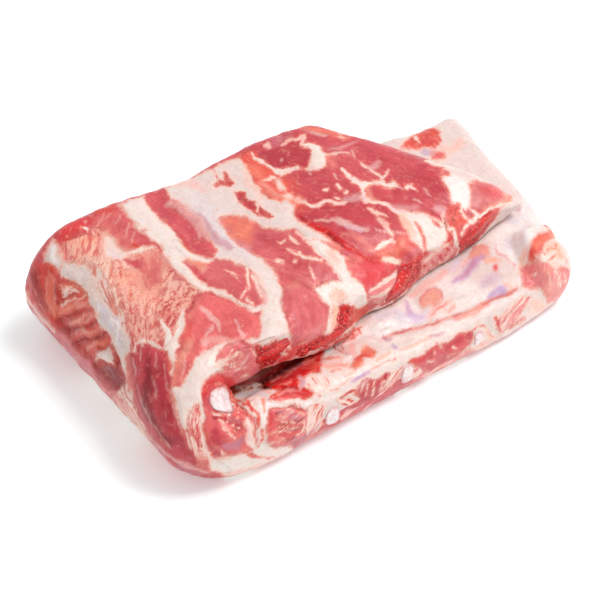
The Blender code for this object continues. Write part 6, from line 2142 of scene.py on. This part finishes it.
@dataclass
class Rack:
    """The slab of meat: the folded sheet, its relief and its paint."""

    view: PhotoFrame
    sheet: FoldedSheet = field(default_factory=FoldedSheet)
    surface: Surface = field(init=False)
    mesh: bpy.types.Mesh = field(init=False)
    paint: Paint = field(init=False)
    raised: Array = field(init=False)           # the points with their relief

    LUMPS = ((0.45, 11.0, 3, 6.0), (0.2, 4.0, 2, 7.0))      # height, size, octaves and seed
    SEAMS = (22.0, 3, 4.0)      # size, octaves and seed
    SEAM_STRETCH = (1.0, 0.35, 1.0)
    BLOTCHES = (30.0, 2, 5.0)
    BLOTCH_REACH = 12.0         # how far the blotches carry a border, in millimetres
    LOOK_OFF = (0.3, 0.5)       # how far off the surface a look at the camera starts, in mm

    def build(self) -> bpy.types.Object:
        """Make the slab's mesh, paint it and give it its relief.

        Returns:
            The slab's object.
        """
        self.surface = self.sheet.surface()
        self.mesh = mesh_from("rack", self.surface.points, self.surface.faces)
        normals = normals_of(self.mesh)
        self.paint = Paint(self.surface, normals, self.view, self.visibility(normals))
        self.ground()
        lower, upper = self.surface.station < CREASE, self.surface.station > CREASE
        for marks, part in ((INNER_FACE, lower), (CREVICE, lower), (SAWN_EDGE, upper),
                            (TOP_MUSCLES, upper), (WHITE_BANDS, upper), (LEFT_END, lower | upper),
                            (FOLD_SIDE, lower | upper), (FRONT_CORNER, lower | upper)):
            self.paint.open = part
            for mark in marks:
                self.paint.add(mark)
        self.paint.store(self.mesh)
        self.raise_relief(normals)
        return place("rack", self.mesh, MeatFinish().build())

    def visibility(self, normals: Array) -> Array:
        """How fully the photograph shows each vertex, from 0 to 1.

        Args:
            normals: The vertices' normals.

        Returns:
            One value for each vertex.
        """
        points = self.surface.points
        facing = normals @ self.view.back
        tree = BVHTree.FromPolygons(points.tolist(), self.surface.faces)
        seen = smooth(-0.12, 0.06, facing)
        back = Vector(self.view.back)
        for k in np.flatnonzero(facing > 0.0):
            start = Vector(points[k] + normals[k] * self.LOOK_OFF[0]
                           + self.view.back * self.LOOK_OFF[1])
            if tree.ray_cast(start, back)[0] is not None:
                seen[k] = 0.0
        return seen

    def ground(self) -> None:
        """Paint what lies under the marks, region by region, so that no side is bare."""
        paint, surface = self.paint, self.surface
        x, y = surface.points[:, 0], surface.points[:, 1]
        seams = turbulence(surface.points * self.SEAM_STRETCH, *self.SEAMS)
        blotch = turbulence(surface.points, *self.BLOTCHES)
        swing = self.BLOTCH_REACH * blotch
        paint.fat = np.where(surface.outer & (paint.seen < 0.5), 9.0 * seams - 1.5, paint.fat)
        deeper = smooth(-0.3, 0.5, blotch)[:, None]
        paint.muscle_tone = blend(linear(TONES["rose"]), linear(TONES["rose_deep"]), deeper)

        floor = ~surface.outer & (surface.station < CREASE)
        paint.fat = np.where(floor, 3.0 + 2.0 * seams, paint.fat)
        paint.fat_tone[floor] = linear(TONES["membrane"])
        roofed = (smooth(0.0, 12.0, self.sheet.upper_end(y) - x + swing)
                  * smooth(0.0, 8.0, y - curve(x, self.sheet.UPPER_FRONT)))
        warm = (roofed * floor * (1.0 - paint.seen))[:, None]
        paint.fat_tone = blend(paint.fat_tone, linear(TONES["blush"]), warm)

        under = ~surface.outer & ~floor
        paint.fat = np.where(under, 1.0 + 6.0 * seams, paint.fat)
        sawn = under & ((surface.row < self.sheet.front_rows) | (paint.seen > 0.3))
        for name, value in (("fat", -0.2), ("streak", 1.2), ("soft", 0.4), ("bone", 0.3),
                            ("muscle_tone", linear(TONES["scarlet"])),
                            ("fat_tone", linear(TONES["blush"]))):
            getattr(paint, name)[sawn] = value

        # Inside the slit by the fold, under the upper leaf: dark red muscle, partly its own tone
        # and partly painted shade of the slit.
        hollow = smooth(90.0, 76.0, x + swing) * smooth(18.0, 24.0, y)
        hollow *= (floor | under & ~sawn) * smooth(124.0, 100.0, y)
        paint.fat = blend(paint.fat, -1.5, hollow)
        paint.muscle_tone = blend(paint.muscle_tone, linear(TONES["blood_dark"]),
                                  hollow[:, None])

    def raise_relief(self, normals: Array) -> None:
        """Lift the surface by the marks' relief and by low lumps.

        Args:
            normals: The vertices' normals.
        """
        points = self.surface.points
        lumps = sum(height * turbulence(points, *rest) for height, *rest in self.LUMPS)
        on_table = smooth(0.0, 4.0, points[:, 2])
        self.raised = points + normals * ((lumps + self.paint.lift) * on_table)[:, None]
        placed = ((self.raised - ORIGIN) * MM).astype(np.float32)
        self.mesh.vertices.foreach_set("co", placed.ravel())
        self.mesh.update()


@dataclass(frozen=True)
class Rib:
    """A rib in the sheet: where its cut end and its far end are, seen from the front."""

    node: str
    front: tuple[float, float]          # x and z of the cut end's middle
    cut_half: tuple[float, float]       # half its width and height
    tilt: float                         # of the cut end, in degrees
    back: tuple[float, float]           # x and z of the far end's middle
    shaft_half: tuple[float, float]
    taper: float                        # depth at which the shaft has its own section
    is_red: bool

    SIDES = 48
    RINGS = 30
    CAP_RINGS = 7
    DEPTH = 124.0               # of the slab, from front to back
    DOME = 0.45                 # height of the ends' domes
    CUT_DEPTH = 3.0             # how far in the cut end keeps its section
    SQUARENESS = 0.8            # power that turns the section's oval squarer as it falls
    LUMP = 1.1                  # how quickly the outline's waver changes round the section
    LUMP_CHANGE = 0.37          # how quickly it changes from rib to rib, for each millimetre
    RING_EASE = 1.5             # power that sets the rings closer at the front
    LAST_RING = 0.5             # what is left inside a cap's last ring, in rings

    @property
    def proud(self) -> float:
        """How far the ends stand out of the meat in millimetres."""
        return 0.1 if self.is_red else 0.4

    @property
    def unevenness(self) -> float:
        """Waver of the section's outline, as a share of its size."""
        return 0.5 if self.is_red else 0.14

    def section(self, depth: float, turn: float) -> tuple[float, float]:
        """x and z of a point round the rib's section at a depth behind its cut end.

        Args:
            depth: Millimetres behind the cut end.
            turn: Angle round the section.

        Returns:
            x and z.
        """
        share = float(smooth(self.CUT_DEPTH, self.taper, depth))
        half = [blend(cut, shaft, share) for cut, shaft in zip(self.cut_half, self.shaft_half)]
        middle = [blend(a, b, float(smooth(0.0, self.DEPTH, depth)))
                  for a, b in zip(self.front, self.back)]
        tilt = math.radians(self.tilt) * (1.0 - share)
        cosine, sine = math.cos(turn), math.sin(turn)
        lump_at = Vector((cosine * self.LUMP, sine * self.LUMP,
                          self.front[0] * self.LUMP_CHANGE))
        waver = 1.0 + self.unevenness * noise.noise(lump_at)
        across = half[0] * waver * math.copysign(abs(cosine) ** self.SQUARENESS, cosine)
        up = half[1] * waver * math.copysign(abs(sine) ** self.SQUARENESS, sine)
        return (middle[0] + across * math.cos(tilt) - up * math.sin(tilt),
                middle[1] + across * math.sin(tilt) + up * math.cos(tilt))

    def build(self, meat: BVHTree, finish: bpy.types.Material) -> bpy.types.Object:
        """Make the rib: a tube along the sheet with two domed ends just proud of the meat.

        Args:
            meat: The slab's surface in millimetres.
            finish: The rib's material.

        Returns:
            The rib's object.
        """
        turns = [2 * math.pi * k / self.SIDES for k in range(self.SIDES)]
        fronts, backs = [], []
        for turn in turns:
            x, z = self.section(0.0, turn)
            fronts.append(meat.ray_cast(Vector((x, -self.DEPTH, z)), Vector((0, 1, 0)))[0].y)
            x, z = self.section(self.DEPTH, turn)
            backs.append(meat.ray_cast(Vector((x, 2 * self.DEPTH, z)), Vector((0, -1, 0)))[0].y)
        first = min(fronts)
        rows: list[list[tuple[float, float, float]]] = []
        for step in range(self.RINGS + 1):
            share = (step / self.RINGS) ** self.RING_EASE
            row = []
            for turn, front, back in zip(turns, fronts, backs):
                y = front - self.proud + (back - front + 2 * self.proud) * share
                x, z = self.section(y - first, turn)
                row.append((x, y, z))
            rows.append(row)
        rows = self.cap(meat, rows[0], -1)[::-1] + rows + self.cap(meat, rows[-1], 1)
        mesh = mesh_from(self.node, np.array(rows).reshape(-1, 3), self.faces(len(rows)))
        inward = [1 - k / (self.CAP_RINGS + self.LAST_RING) for k in range(1, self.CAP_RINGS + 1)]
        rims = inward[::-1] + [1.0] * (self.RINGS + 1) + inward
        set_attribute(mesh, "rim", np.repeat(rims, self.SIDES))
        return place(self.node + "_look", mesh, finish)

    def faces(self, ring_count: int) -> list[tuple[int, ...]]:
        """Faces of a tube of rings that is closed at both ends.

        Args:
            ring_count: Number of rings.

        Returns:
            Vertex numbers of each face.
        """
        faces: list[tuple[int, ...]] = []
        for r in range(ring_count - 1):
            for k in range(self.SIDES):
                n = (k + 1) % self.SIDES
                faces.append((r * self.SIDES + k, r * self.SIDES + n,
                              (r + 1) * self.SIDES + n, (r + 1) * self.SIDES + k))
        faces.append(tuple(range(self.SIDES)))
        faces.append(tuple((ring_count - 1) * self.SIDES + k for k in range(self.SIDES)))
        return faces

    def cap(self, meat: BVHTree, rim: list[tuple[float, float, float]],
            way: int) -> list[list[tuple[float, float, float]]]:
        """Rings that close an end with a low dome over the meat's surface.

        Args:
            meat: The slab's surface in millimetres.
            rim: The tube's last ring.
            way: -1 at the front, 1 at the back.

        Returns:
            The rings from the rim inwards.
        """
        middle = np.mean(np.array(rim), axis=0)
        rings = []
        for step in range(1, self.CAP_RINGS + 1):
            share = step / (self.CAP_RINGS + self.LAST_RING)
            rise = self.proud + self.DOME * math.sin(share * math.pi / 2)
            ring = []
            for point in rim:
                x, _, z = np.array(point) * (1 - share) + middle * share
                hit = meat.ray_cast(Vector((x, 2 * way * self.DEPTH, z)), Vector((0, -way, 0)))[0]
                ring.append((x, hit.y + way * rise, z))
            rings.append(ring)
        return rings


RIBS = (
    Rib("rib_lower_1", (67.3, 12.6), (3.4, 4.3), 0, (69, 12), (5.5, 3.6), 25, False),
    Rib("rib_lower_2", (105.0, 12.8), (3.1, 4.1), 0, (106, 12), (5.5, 3.6), 25, False),
    Rib("rib_lower_3", (141.5, 12.4), (2.3, 3.5), 0, (142, 11.5), (5.2, 3.4), 25, False),
    Rib("rib_fold", (26.0, 35.0), (6.6, 3.4), -37, (19, 27), (3.8, 5.4), 30, False),
    Rib("rib_upper_1", (53.5, 40.8), (7.6, 3.1), 13, (55, 36), (5.8, 3.6), 30, True),
    Rib("rib_upper_2", (80.5, 30.4), (9.0, 2.9), 0, (86, 34.5), (5.8, 3.6), 30, True),
    Rib("rib_upper_3", (121.0, 32.5), (8.2, 3.0), 27, (119, 33.5), (5.6, 3.5), 30, True),
    Rib("rib_upper_4", (167.0, 31.3), (11.5, 2.8), 13, (165, 30.5), (5.4, 3.0), 30, True),
)


# ---------------------------------------------------------------- studio

@dataclass(frozen=True)
class Studio:
    """Plain white floor, soft light and the photograph's camera."""

    view: PhotoFrame
    floor_size: float = 6.0         # in metres, as are the places and sizes below
    floor_colour: Colour = (0.9, 0.98, 0.98)
    floor_glow: float = 0.25
    sky: float = 0.63
    key_power: float = 9.8
    key_size: float = 0.55
    key_place: tuple[float, float, float] = (0.46, -0.22, 1.1)
    camera_reach: float = 20.0

    def build(self) -> None:
        """Make the floor, the light and the camera."""
        self.build_floor()
        self.build_light()
        self.build_camera()
        bpy.context.scene.view_settings.view_transform = "Standard"

    def build_floor(self) -> None:
        """White floor under the slab."""
        half = self.floor_size / 2
        mesh = bpy.data.meshes.new("floor")
        mesh.from_pydata([(-half, -half, 0), (half, -half, 0), (half, half, 0), (-half, half, 0)],
                         [], [(0, 1, 2, 3)])
        n = Nodes("floor")
        n.set(base_color=self.floor_colour, roughness=1.0, specular_ior_level=0.0,
              emission_color=(1.0, 1.0, 1.0), emission_strength=self.floor_glow)
        place("floor", mesh, n.material)

    def build_light(self) -> None:
        """Bright even surroundings and one large soft light from the front right."""
        world = bpy.data.worlds.new("surroundings")
        world.use_nodes = True
        background = world.node_tree.nodes["Background"]
        background.inputs["Color"].default_value = (1.0, 1.0, 1.0, 1.0)
        background.inputs["Strength"].default_value = self.sky
        bpy.context.scene.world = world
        lamp = bpy.data.lights.new("key", "AREA")
        lamp.energy = self.key_power
        lamp.size = self.key_size
        key = bpy.data.objects.new("key", lamp)
        bpy.context.scene.collection.objects.link(key)
        key.location = self.key_place
        key.rotation_mode = "QUATERNION"
        key.rotation_quaternion = (-Vector(self.key_place)).to_track_quat("-Z", "Y")

    def build_camera(self) -> None:
        """Camera at the photograph's place."""
        data = bpy.data.cameras.new("camera")
        data.angle = math.radians(self.view.field_of_view)
        data.clip_end = self.camera_reach
        camera = bpy.data.objects.new("camera", data)
        bpy.context.scene.collection.objects.link(camera)
        turn = np.eye(4)
        turn[:3, 0], turn[:3, 1], turn[:3, 2] = self.view.right, self.view.up, self.view.back
        turn[:3, 3] = (self.view.eye - ORIGIN) * MM
        camera.matrix_world = Matrix(turn.tolist())
        bpy.context.scene.camera = camera


def main() -> None:
    """Build the lamb ribs and their studio."""
    logging.basicConfig(level=logging.INFO)
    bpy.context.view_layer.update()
    view = PhotoFrame()
    Studio(view).build()
    rack = Rack(view)
    slab = rack.build()
    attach(slab, "root")
    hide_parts("rack_meat")
    log.info("rack: %d faces", len(rack.mesh.polygons))
    finishes = {
        True: BoneFinish("red_bone", ground="e8222a", dark="b81018", light="f2a090",
                         cavity=1.0).build(),
        False: BoneFinish("cartilage", ground="eee4e4", dark="e2a8a6", light="f2ecee",
                          cavity=0.35).build(),
    }
    tree = BVHTree.FromPolygons(rack.raised.tolist(), rack.surface.faces)
    for rib in RIBS:
        piece = rib.build(tree, finishes[rib.is_red])
        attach(piece, "root")
        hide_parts(rib.node)
        log.info("%s: %d faces", piece.name, len(piece.data.polygons))


if __name__ == "__main__":
    main()
